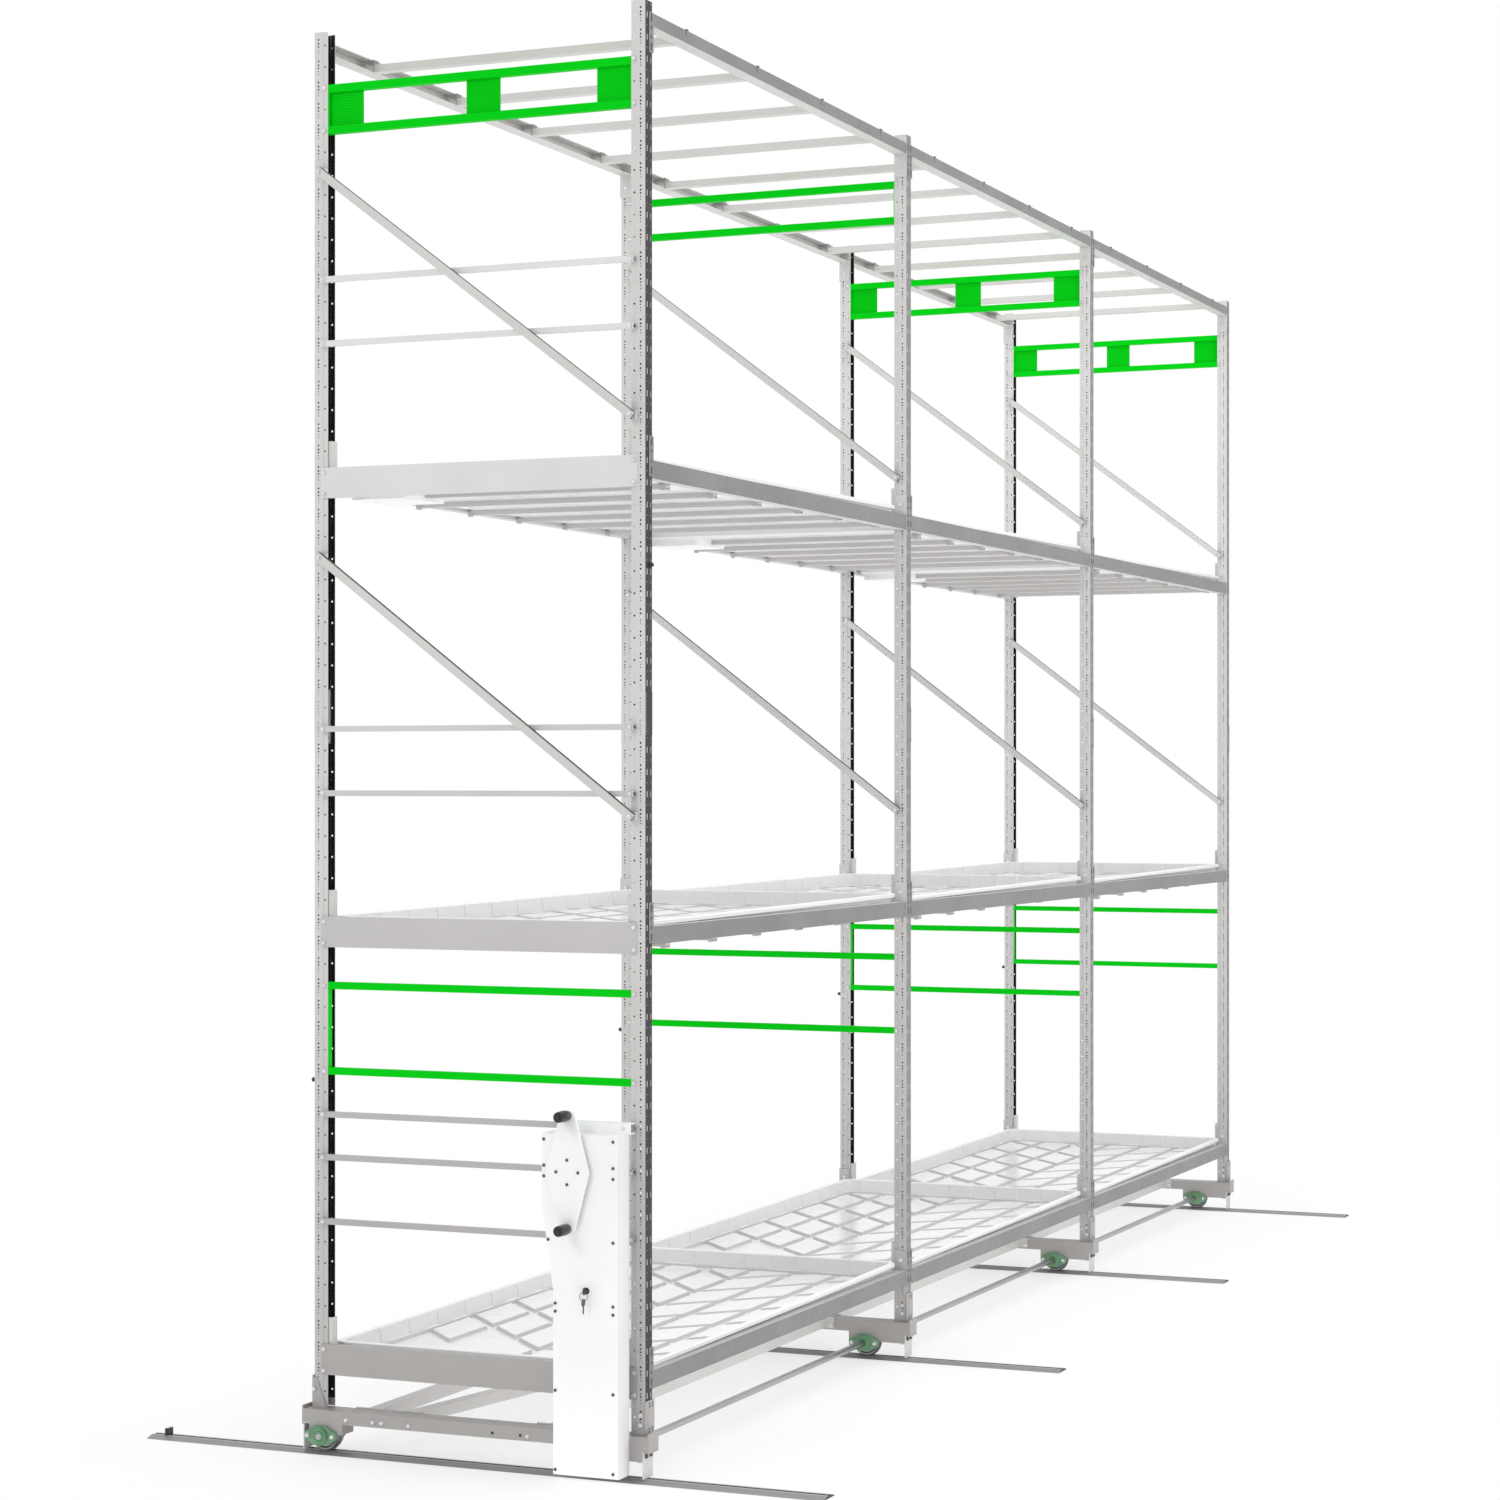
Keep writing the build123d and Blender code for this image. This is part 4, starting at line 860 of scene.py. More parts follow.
def rounded_rectangle(half_x, half_y, radius, z, centre, steps=4):
    """Ring of points round a rectangle with round corners."""
    points = []
    for corner_x, corner_y, first in ((1, 1, 0), (-1, 1, 1), (-1, -1, 2), (1, -1, 3)):
        for index in range(steps + 1):
            turn = (first + index / steps) * pi / 2
            points.append((centre[0] + corner_x * (half_x - radius) + radius * cos(turn),
                           centre[1] + corner_y * (half_y - radius) + radius * sin(turn), z))
    return points


def clip(points, axis, limit, keep_above):
    """Part of a convex outline on one side of a line along X or Y."""
    kept = []
    sign = 1 if keep_above else -1
    for index, point in enumerate(points):
        after = points[(index + 1) % len(points)]
        here = sign * (point[axis] - limit)
        there = sign * (after[axis] - limit)
        if here >= 0:
            kept.append(point)
        if here * there < 0:
            share = here / (here - there)
            kept.append(tuple(a + (b - a) * share for a, b in zip(point, after)))
    return kept


def inset(points, amount):
    """Convex outline, drawn anticlockwise, moved inwards."""
    moved = []
    count = len(points)
    for index in range(count):
        before = Vector(points[index - 1])
        here = Vector(points[index])
        after = Vector(points[(index + 1) % count])
        first = (here - before).normalized()
        second = (after - here).normalized()
        left_first = Vector((-first.y, first.x))
        left_second = Vector((-second.y, second.x))
        moved.append(tuple(here + (left_first + left_second) * (amount / (1 + left_first.dot(left_second)))))
    return moved


def floor_blocks(width_x, half_y, sump):
    """Outlines of the raised blocks of a tray floor, between its straight and its slanted channels.
    They leave the drain sump free, whose inner corner is given."""
    sizes = bpy.context.scene.rack_sizes
    half = sizes.channel_width / 2
    slant = half * 2 ** 0.5
    pitch = 0.19
    first_apex = 0.896
    apex_pitch = 0.344
    drain = half_y - 0.045
    columns = int(width_x / pitch)
    outlines = []
    for column in range(columns):
        near = column * pitch + half
        far = (column + 1) * pitch - half
        lines = [first_apex - index * apex_pitch for index in range(-1, 9)]
        lines = [drain + 1] + lines + [-drain - 2]
        for upper, lower in zip(lines, lines[1:]):
            outline = [(near, lower + near + slant), (far, lower + far + slant),
                       (far, upper + far - slant), (near, upper + near - slant)]
            outline = clip(outline, 1, -drain, True)
            if len(outline) > 2:
                outline = clip(outline, 1, drain, False)
            if len(outline) > 2:
                span = max(y for x, y in outline) - min(y for x, y in outline)
                if span > 0.03:
                    outlines.append(outline)
                    mirrored = [(-x, y) for x, y in reversed(outline)]
                    in_sump = min(x for x, y in mirrored) < sump[0] and min(y for x, y in mirrored) < sump[1]
                    if not in_sump:
                        outlines.append(mirrored)
    return outlines


def build_tray(shape, centre, floor_z, rim_z, bottom_z, half_x, half_y):
    """One basin: outer and inner walls, a turned lip, the channel floor and its raised blocks."""
    lip = 0.016
    wall = 0.004
    lean = 0.012
    radius = 0.03
    outer_x = half_x - lip
    outer_y = half_y - lip
    channel_z = floor_z - 0.012
    sump_x = (-outer_x + lean + 0.016, -outer_x + 0.258)
    sump_y = (-outer_y + lean + 0.016, -outer_y + 0.330)
    sump_centre = (centre[0] + sum(sump_x) / 2, centre[1] + sum(sump_y) / 2)
    sump_half = ((sump_x[1] - sump_x[0]) / 2, (sump_y[1] - sump_y[0]) / 2)

    def ring(inset_by, z, round_by):
        return rounded_rectangle(outer_x - inset_by, outer_y - inset_by, round_by, z, centre)

    def sump_ring(inset_by, z):
        return rounded_rectangle(sump_half[0] - inset_by, sump_half[1] - inset_by, 0.020, z, sump_centre)

    rings = [
        ring(lean + 0.010, bottom_z, radius - 0.006),
        ring(lean, bottom_z + 0.008, radius),
        ring(0.0005, rim_z - 0.012, radius + 0.004),
        ring(-lip + wall, rim_z - 0.010, radius + 0.016),
        ring(-lip + wall, rim_z - 0.016, radius + 0.016),
        ring(-lip, rim_z - 0.016, radius + 0.020),
        ring(-lip, rim_z - 0.003, radius + 0.020),
        ring(-lip + 0.003, rim_z, radius + 0.017),
        ring(0.002, rim_z, radius + 0.002),
        ring(0.005, rim_z - 0.003, radius),
        ring(lean + 0.001, floor_z + 0.002, radius - 0.008),
        ring(lean + 0.011, floor_z, radius - 0.014),
        ring(lean + 0.014, channel_z, radius - 0.016),
    ]
    shape.rings(rings, closed_ends=False)
    sump = [sump_ring(-0.001, bottom_z), sump_ring(0.003, bottom_z - 0.028), sump_ring(0.007, bottom_z - 0.025),
            sump_ring(0.002, channel_z)]
    shape.rings(sump, closed_ends=False)
    for level in (sump[1], sump[2]):
        shape.add(level, [tuple(range(len(level)))])
    for around, hole in ((rings[0], sump[0]), (rings[-1], sump[-1])):
        loops = [[Vector(point) for point in around], [Vector(point) for point in hole]]
        shape.add(loops[0] + loops[1], tessellate_polygon(loops))
    inner_corner = (sump_x[1] + 0.01, sump_y[1] + 0.01)
    for outline in floor_blocks(outer_x - lean - 0.012, outer_y - lean - 0.012, inner_corner):
        levels = []
        for amount, z in ((0.0, channel_z - 0.001), (0.004, floor_z - 0.003), (0.007, floor_z)):
            levels.append([(centre[0] + x, centre[1] + y, z) for x, y in inset(outline, amount)])
        count = len(outline)
        faces = []
        for level in range(len(levels) - 1):
            for index in range(count):
                after = (index + 1) % count
                base = level * count
                faces.append((base + index, base + after, base + count + after, base + count + index))
        faces.append(tuple(range((len(levels) - 1) * count, len(levels) * count)))
        shape.add([point for level in levels for point in level], faces)


def wall_rib_unit(name, width, height, depth, lean):
    """Broad flat rib that stands upright, faces -Y and leans back with the wall."""
    shape = Shape()
    plan = [(-width / 2, 0.001), (-width / 2 + 0.004, -depth), (width / 2 - 0.004, -depth), (width / 2, 0.001)]
    shape.rings([[(x, y + back, z) for x, y in plan] for z, back in ((0, 0), (height, lean))])
    return piece(name, shape.corners, shape.faces)


def tilt_in_bays(made):
    """Lean the parts of a mesh a little towards the near end of the bay that they are in."""
    slope = bpy.context.scene.rack_sizes.tray_slope
    centres = [bay_centre(bay) for bay in range(FRAME_COUNT - 1)]
    for vertex in made.data.vertices:
        centre = min(centres, key=lambda y: abs(vertex.co.y - y))
        vertex.co.z += (vertex.co.y - centre) * slope


class RACK_OT_trays(bpy.types.Operator):
    """Make the growing trays"""

    bl_idname = "rack.trays"
    bl_label = "Growing Trays"

    def execute(self, context):
        sizes = context.scene.rack_sizes
        for level in LEVELS:
            node = level + "_trays"
            bottom = low(node).z
            rim = high(node).z - 0.008
            half_x = high(node).x
            half_y = (high(node).y - low(node).y - (FRAME_COUNT - 2) * BAY_PITCH) / 2
            floor = bottom + 0.020
            shape = Shape()
            for bay in range(FRAME_COUNT - 1):
                build_tray(shape, (0, bay_centre(bay)), floor, rim, bottom, half_x, half_y)
            made = piece(node + "_moulded", shape.corners, shape.faces, "tray", smooth=True)
            self.shade_channels(made, floor, rim, half_x - 0.035)
            tilt_in_bays(made)
            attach(made, "carriage")
            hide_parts(node)
            places = []
            inner_x = half_x - 0.016 - 0.0130
            inner_y = half_y - 0.016 - 0.0130
            for bay in range(FRAME_COUNT - 1):
                for index in range(sizes.rib_count):
                    share = (index + 0.5) / sizes.rib_count - 0.5
                    y = bay_centre(bay) + share * 2 * inner_y
                    places.append(((-inner_x, y, floor + 0.002), FACE_RIGHT))
                    places.append(((inner_x, y, floor + 0.002), FACE_LEFT))
                for index in range(5):
                    x = ((index + 0.5) / 5 - 0.5) * 2 * inner_x
                    places.append(((x, bay_centre(bay) - inner_y, floor + 0.002), FACE_BACK))
                    places.append(((x, bay_centre(bay) + inner_y, floor + 0.002), FACE_FRONT))
            unit = wall_rib_unit("rib_unit", 0.115, rim - floor - 0.007, 0.0045, 0.0075)
            # The ribs take the walls' greyer finish, which is painted shade.
            ribs = repeated(level + "_tray_ribs", unit, places, "wall")
            tilt_in_bays(ribs)
            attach(ribs, "carriage")
        return {"FINISHED"}

    def shade_channels(self, made, floor, rim, reach):
        """Give the sides of the raised blocks and the walls their greyer finishes, which are painted shade."""
        made.data.materials.append(finish("channel"))
        made.data.materials.append(finish("wall"))
        for face in made.data.polygons:
            height = face.center.z - floor
            if -0.0105 < height < -0.0010 and abs(face.center.x) < reach:
                face.material_index = 1
            elif height > 0.003 and face.center.z < rim - 0.009:
                face.material_index = 2


class RACK_OT_bars(bpy.types.Operator):
    """Make the cross bars under the trays"""

    bl_idname = "rack.bars"
    bl_label = "Cross Bars"

    def execute(self, context):
        half_width = 0.0205
        for level in LEVELS:
            node = level + "_cross_bars"
            lowest = low(node)
            highest = high(node)
            top = highest.z - lowest.z
            unit = self.bar_unit(highest.x, half_width, 0.018, top)
            first = lowest.y + half_width
            pitch = (highest.y - half_width - first - (FRAME_COUNT - 2) * BAY_PITCH) / 5
            places = []
            for bay in range(FRAME_COUNT - 1):
                for index in range(6):
                    places.append(((0, first + frame_y(bay) + index * pitch, lowest.z), FACE_FRONT))
            made = repeated(node + "_folded", unit, places, "bars")
            tilt_in_bays(made)
            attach(made, "carriage")
            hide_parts(node)
        return {"FINISHED"}

    def bar_unit(self, half_length, half, depth, top):
        """Lipped channel that opens towards +Y, with a deeper plate at each end."""
        wall = 0.002
        lip = 0.006
        base = top - depth
        shape = Shape()
        section = [(-half, base), (half, base), (half, base + lip), (half - wall, base + lip),
                   (half - wall, base + wall), (wall - half, base + wall), (wall - half, top - wall),
                   (half - wall, top - wall), (half - wall, top - lip), (half, top - lip), (half, top),
                   (-half, top)]
        shape.rings([[(x, y, z) for y, z in section] for x in (-half_length, half_length)])
        for side in SIDES:
            end = side * half_length
            inner = side * (half_length - wall)
            shape.box((min(end, inner), -half, base - 0.005), (max(end, inner), half, top))
            inner = side * (half_length - 0.018)
            shape.box((min(end, inner), -half - 0.0015, base - 0.005), (max(end, inner), -half, top - 0.002))
        return piece("bar_unit", shape.corners, shape.faces)


# Bolts and screws


def hexagon_bolt_unit(name, width, height, washer=True):
    """Hexagon head on a washer, facing -Y, with its seat at the origin."""
    shape = Shape()
    seat = 0.0
    if washer:
        shape.disc((0, 0, 0), [(width * 0.62, 0.0005), (width * 0.62, -0.0012)], 16)
        seat = -0.0012
    radius = width / 3 ** 0.5
    outline = [(radius * cos(pi * index / 3), radius * sin(pi * index / 3)) for index in range(6)]
    rings = [[(x * share, y, z * share) for x, z in outline]
             for share, y in ((1, seat), (1, seat - height * 0.8), (0.86, seat - height))]
    shape.rings(rings)
    return piece(name, shape.corners, shape.faces)


def screw_unit(name, radius, height):
    """Round screw head with a socket, facing -Y, with its seat at the origin."""
    shape = Shape()
    profile = [(radius, 0.0003), (radius, -height * 0.6), (radius * 0.75, -height), (radius * 0.42, -height),
               (radius * 0.36, -height * 0.35), (0.00001, -height * 0.35)]
    shape.disc((0, 0, 0), profile, 20)
    return piece(name, shape.corners, shape.faces)


def add_bolts(name, places, finish_name, width=None, height=0.0075, washer=True):
    sizes = bpy.context.scene.rack_sizes
    unit = hexagon_bolt_unit(name + "_unit", width or sizes.bolt_width, height, washer)
    made = repeated(name, unit, places, finish_name)
    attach(made, "carriage")
    return made


class RACK_OT_bolts(bpy.types.Operator):
    """Make the bolts of the frames, beams and base"""

    bl_idname = "rack.bolts"
    bl_label = "Bolts"

    def execute(self, context):
        bolt_x = POST_X - 0.041
        front = []
        fascia_front = low("fascias").y
        for number in (1, 21, 42):
            for extra in (0, 1):
                for side in SIDES:
                    front.append(((side * bolt_x, fascia_front, hole_z(number + extra)), FACE_FRONT))
        brace_front = low("level_braces").y
        for number in (8, 11, 13, 28, 31, 49, 52):
            for side in SIDES:
                front.append(((side * (bolt_x - 0.006), brace_front, hole_z(number)), FACE_FRONT))
        diagonal_depth = low("diagonal_braces").y - POST_FRONT
        for index in range(FRAME_COUNT):
            y = frame_y(index) + POST_FRONT + (diagonal_depth if index == 0 else -0.02)
            for left, right in ((57, 45), (39, 27)):
                front.append(((-bolt_x, y, hole_z(left)), FACE_FRONT))
                front.append(((bolt_x, y, hole_z(right)), FACE_FRONT))
            inner = frame_y(index) + POST_FRONT + 0.003
            for number in (15, 19, 59, 61):
                for side in SIDES:
                    front.append(((side * bolt_x, inner, hole_z(number)), FACE_FRONT))
        add_bolts("frame_bolts", front, "bright")
        base = []
        bearing_front = -0.040 - 0.013
        for index in range(FRAME_COUNT):
            y = frame_y(index)
            for x in (-0.491, -0.384, -0.350, -0.243, 0.218, 0.325):
                base.append(((x, y + BEAM_FRONT, BASE_TOP - 0.028), FACE_FRONT))
            for axle in (AXLE.x, IDLE_AXLE.x):
                for side in SIDES:
                    base.append(((axle + side * 0.0495, y + bearing_front, AXLE.z), FACE_FRONT))
        add_bolts("base_bolts", base, "bright", 0.013)
        return {"FINISHED"}


def add_screws(name, places, body, finish_name="screw", radius=None, height=0.0035):
    sizes = bpy.context.scene.rack_sizes
    unit = screw_unit(name + "_unit", radius or sizes.screw_radius, height)
    made = repeated(name, unit, places, finish_name, smooth=True)
    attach(made, body)
    return made


# Crank column


class RACK_OT_column(bpy.types.Operator):
    """Make the cover of the crank column and its screws"""

    bl_idname = "rack.column"
    bl_label = "Crank Column"

    def execute(self, context):
        front = COLUMN_LOW.y
        back = COLUMN_HIGH.y
        right = COLUMN_HIGH.x
        wide = COLUMN_LOW.x
        narrow = right - 0.244
        bottom = COLUMN_LOW.z
        top = COLUMN_HIGH.z
        bend_low = top - 0.528
        bend_high = top - 0.235
        outline = [(right, bottom), (right, top), (wide, top), (wide, bend_high), (narrow, bend_low),
                   (narrow, bottom)]
        rings = []
        for amount, y in ((0.002, front + 0.0025), (0.002, back), (0.0, back), (0.0, front + 0.0035),
                          (0.0004, front + 0.0017), (0.0014, front + 0.0005), (0.0032, front)):
            rings.append([(x, y, z) for x, z in inset(outline, amount)])
        shape = Shape()
        shape.rings(rings)
        made = piece("column_cover", shape.corners, shape.faces, "column", smooth=True)
        # Faces that look along +X get the darker column finish: painted shade.
        made.data.materials.append(finish("column_side"))
        for face in made.data.polygons:
            if face.normal.x > 0.7:
                face.material_index = 1
        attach(made, "carriage")
        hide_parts("crank_column")
        places = []
        for rise in (0.996, 0.908, 0.872, 0.659, 0.446, 0.419, 0.153, -0.113):
            left = wide + 0.009
            if rise < 0.5:
                left = narrow + 0.009
            elif rise < 0.7:
                left = wide + 0.025
            for x in (left, right - 0.020):
                places.append(((x, front, BASE_TOP + rise), FACE_FRONT))
        add_screws("column_screws", places, "carriage")
        places = []
        for x in (0.352, 0.585):
            places.append(((x, low("column_bracket").y, high("column_bracket").z - 0.019), FACE_FRONT))
        add_screws("bracket_screws", places, "carriage", "bright", 0.007)
        return {"FINISHED"}


class RACK_OT_crank(bpy.types.Operator):
    """Make the crank plate, its screws, its grips and the lock with its keys"""

    bl_idname = "rack.crank"
    bl_label = "Crank and Lock"

    def execute(self, context):
        plate_low = low("crank_plate")
        plate_high = high("crank_plate")
        half_width = (plate_high.x - plate_low.x) / 2
        half_height = (plate_high.z - plate_low.z) / 2
        tip = 0.024
        diamond = [(tip, half_height), (-tip, half_height), (-half_width, 0), (-tip, -half_height),
                   (tip, -half_height), (half_width, 0)]
        outline = rounded(diamond, 0.022)
        shape = Shape()
        plate_rings(shape, outline, plate_high.y, plate_low.y, 0.0016, (CRANK.x, CRANK.z))
        made = piece("crank_diamond", shape.corners, shape.faces, "column", smooth=True)
        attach(made, "crank")
        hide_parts("crank_plate")
        places = []
        for across, up in ((0.041, 0), (-0.041, 0), (0, 0.041), (0, -0.041)):
            places.append(((CRANK.x + across, plate_low.y, CRANK.z + up), FACE_FRONT))
        add_screws("crank_screws", places, "crank")
        for node, body in (("upper_grip", "grip_up"), ("lower_grip", "grip_down")):
            lowest = low(node)
            highest = high(node)
            radius = (highest.x - lowest.x) / 2
            length = highest.y - lowest.y
            profile = [(0.0001, -0.0008), (radius * 0.7, -0.0008)]
            for share, size in ((0, 0.80), (0.03, 0.9), (0.1, 0.93), (0.25, 0.98), (0.5, 1), (0.75, 0.98),
                                (0.9, 0.93), (0.97, 0.9), (1, 0.80)):
                profile.append((radius * size, length * share))
            profile.append((0.0065, length))
            grip = Shape()
            grip.lathe(((lowest.x + highest.x) / 2, lowest.y, (lowest.z + highest.z) / 2), profile, 36)
            made = piece(node + "_turned", grip.corners, grip.faces, "black", smooth=True)
            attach(made, body)
            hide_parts(node)
        self.make_lock()
        self.make_keys()
        return {"FINISHED"}

    def make_lock(self):
        front = low("column_lock").y
        back = high("column_lock").y
        radius = (high("column_lock").x - low("column_lock").x) / 2 * 0.75
        rim = Shape()
        profile = [(0.0062, back - front), (radius - 0.0035, back - front), (radius - 0.0035, 0.003),
                   (radius, 0.003), (radius, 0.001), (radius - 0.001, 0), (0.0062, 0), (0.0062, back - front)]
        rim.lathe((KEY.x, front, KEY.z), profile, 32)
        made = piece("lock_barrel", rim.corners, rim.faces, "black", smooth=True)
        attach(made, "carriage")
        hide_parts("column_lock")

    def make_keys(self):
        """Key in the lock, the ring through its bow, and a spare key on the ring."""
        key_low = low("lock_key")
        key_high = high("lock_key")
        half = 0.00125
        keys = Shape()
        bow_front = key_low.y
        bow = circle((bow_front + 0.013, KEY.z), 0.013, 24)
        hole = circle((bow_front + 0.0065, KEY.z), 0.004, 24)
        self.cut_plate(keys, bow, hole, KEY.x, half)
        blade = [(bow_front + 0.025, -0.0035), (key_high.y - 0.003, -0.0035), (key_high.y, 0),
                 (key_high.y - 0.003, 0.0035), (bow_front + 0.025, 0.0035)]
        keys.rings([[(x, y, KEY.z + z) for y, z in blade] for x in (KEY.x - half, KEY.x + half)])
        made = piece("key_in_lock", keys.corners, keys.faces, "screw", smooth=True)
        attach(made, "key")
        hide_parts("lock_key")
        ring_low = low("key_ring")
        hang_y = bow_front + 0.0065
        top = KEY.z - 0.004 * cos(pi / 8) + 0.0012 + 0.0005
        radius = 0.014
        wire = 0.0012
        ring = Shape()
        rings = []
        for step in range(40):
            turn = 2 * pi * step / 40
            middle = Vector((KEY.x + radius * sin(turn), hang_y, top - radius + radius * cos(turn)))
            outwards = Vector((sin(turn), 0, cos(turn)))
            rings.append([middle + outwards * (wire * cos(2 * pi * side / 10))
                          + Vector((0, wire * sin(2 * pi * side / 10), 0)) for side in range(10)])
        rings.append(rings[0])
        ring.rings(rings, closed_ends=False)
        spare_z = top - 2 * radius
        spare_bow = circle((hang_y, spare_z - 0.0065), 0.013, 24)
        spare_hole = circle((hang_y, spare_z), 0.004, 24)
        self.cut_plate(ring, spare_bow, spare_hole, KEY.x, half)
        shank_top = spare_z - 0.018
        shank = [(0.0035, shank_top), (0.0035, ring_low.z + 0.003), (0, ring_low.z), (-0.0035, ring_low.z + 0.003),
                 (-0.0035, shank_top)]
        ring.rings([[(x, hang_y + y, z) for y, z in shank] for x in (KEY.x - half, KEY.x + half)])
        made = piece("ring_and_spare_key", ring.corners, ring.faces, "screw", smooth=True)
        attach(made, "key")
        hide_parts("key_ring")

    def cut_plate(self, shape, outline, hole, x, half):
        """Upright plate across X with a hole: both outlines have equally many points in Y and Z."""
        count = len(outline)
        rings = []
        for loop, side in ((outline, -half), (outline, half), (hole, half), (hole, -half)):
            rings.append([(x + side, y, z) for y, z in loop])
        rings.append(rings[0])
        if count == len(hole):
            shape.rings(rings, closed_ends=False)


# Wheels and bearings


class RACK_OT_wheels(bpy.types.Operator):
    """Make the wheels, the axle ends and the flanged bearings"""

    bl_idname = "rack.wheels"
    bl_label = "Wheels and Bearings"

    def execute(self, context):
        tread = AXLE.z - high("floor_rails").z - 0.0003
        rib = (high("drive_wheels").x - low("drive_wheels").x) / 2
        hub = 0.026
        profile = [(0.0127, -0.022), (hub, -0.022), (hub + 0.002, -0.016), (tread - 0.012, -0.016),
                   (tread - 0.008, -0.022), (tread - 0.0015, -0.022), (tread, -0.0205), (tread, -0.004),
                   (rib - 0.001, -0.004), (rib, -0.003)]
        profile += [(radius, -offset) for radius, offset in reversed(profile)]
        for index in range(FRAME_COUNT):
            node = f"idle_wheel_{index + 1}"
            wheel = Shape()
            wheel.lathe((IDLE_AXLE.x, frame_y(index), IDLE_AXLE.z), profile + profile[:1], 48)
            made = piece(node + "_turned", wheel.corners, wheel.faces, "wheel", smooth=True)
            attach(made, f"idle_{index + 1}")
            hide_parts(node)
            self.axle(f"axle_{index + 1}", IDLE_AXLE.x, low(node).y, high(node).y, f"idle_{index + 1}")
        wheels = Shape()
        for index in range(FRAME_COUNT):
            wheels.lathe((AXLE.x, frame_y(index), AXLE.z), profile + profile[:1], 48)
        made = piece("drive_wheels_turned", wheels.corners, wheels.faces, "wheel", smooth=True)
        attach(made, "drive_axle")
        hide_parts("drive_wheels")
        self.bearings()
        return {"FINISHED"}

    def axle(self, name, x, front, back, body):
        shape = Shape()
        length = back - front
        shape.disc((x, front, AXLE.z), [(0.0105, 0), (0.0125, 0.002), (0.0125, length - 0.002),
                                        (0.0105, length)], 32)
        made = piece(name, shape.corners, shape.faces, "shaft", smooth=True)
        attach(made, body)

    def bearings(self):
        lowest = low("flanged_bearings")
        face = BEAM_FRONT
        nose = lowest.y
        half_height = AXLE.z - lowest.z
        half_length = IDLE_AXLE.x - lowest.x
        outline = [(half_length, 0.011), (0.022, half_height), (-0.022, half_height), (-half_length, 0.011),
                   (-half_length, -0.011), (-0.022, -half_height), (0.022, -half_height), (half_length, -0.011)]
        soft = rounded(outline, 0.010, 4)
        shape = Shape()
        for index in range(FRAME_COUNT):
            for x in (IDLE_AXLE.x, AXLE.x):
                y = frame_y(index)
                plate_rings(shape, soft, y + face, y + face - 0.013, 0.002, (x, AXLE.z))
                depth = face - 0.011 - nose
                shape.lathe((x, y + nose, AXLE.z), [(0.0130, depth), (0.0130, 0.001), (0.0150, 0), (0.0175, 0),
                                                    (0.0185, 0.004), (0.0225, 0.004), (0.0275, 0.003),
                                                    (0.0295, 0.005), (0.030, depth)], 40)
        made = piece("bearing_castings", shape.corners, shape.faces, "bearing", smooth=True)
        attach(made, "carriage")
        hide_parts("flanged_bearings")


# Marks of punched holes, laid just proud of a plate; in black they are painted shade where the holes are


def mark_unit(name, width, height, depth=0.0006):
    """Thin block that faces -Y, with its back just inside the plate."""
    shape = Shape()
    outline = rounded([(width / 2, -height / 2), (width / 2, height / 2), (-width / 2, height / 2),
                       (-width / 2, -height / 2)], min(width, height) * 0.25, 2)
    shape.rings([[(x, y, z) for x, z in outline] for y in (0.0004, -depth)])
    return piece(name, shape.corners, shape.faces)


def add_marks(name, width, height, places, finish_name="hole"):
    made = repeated(name, mark_unit(name + "_unit", width, height), places, finish_name)
    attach(made, "carriage")
    return made


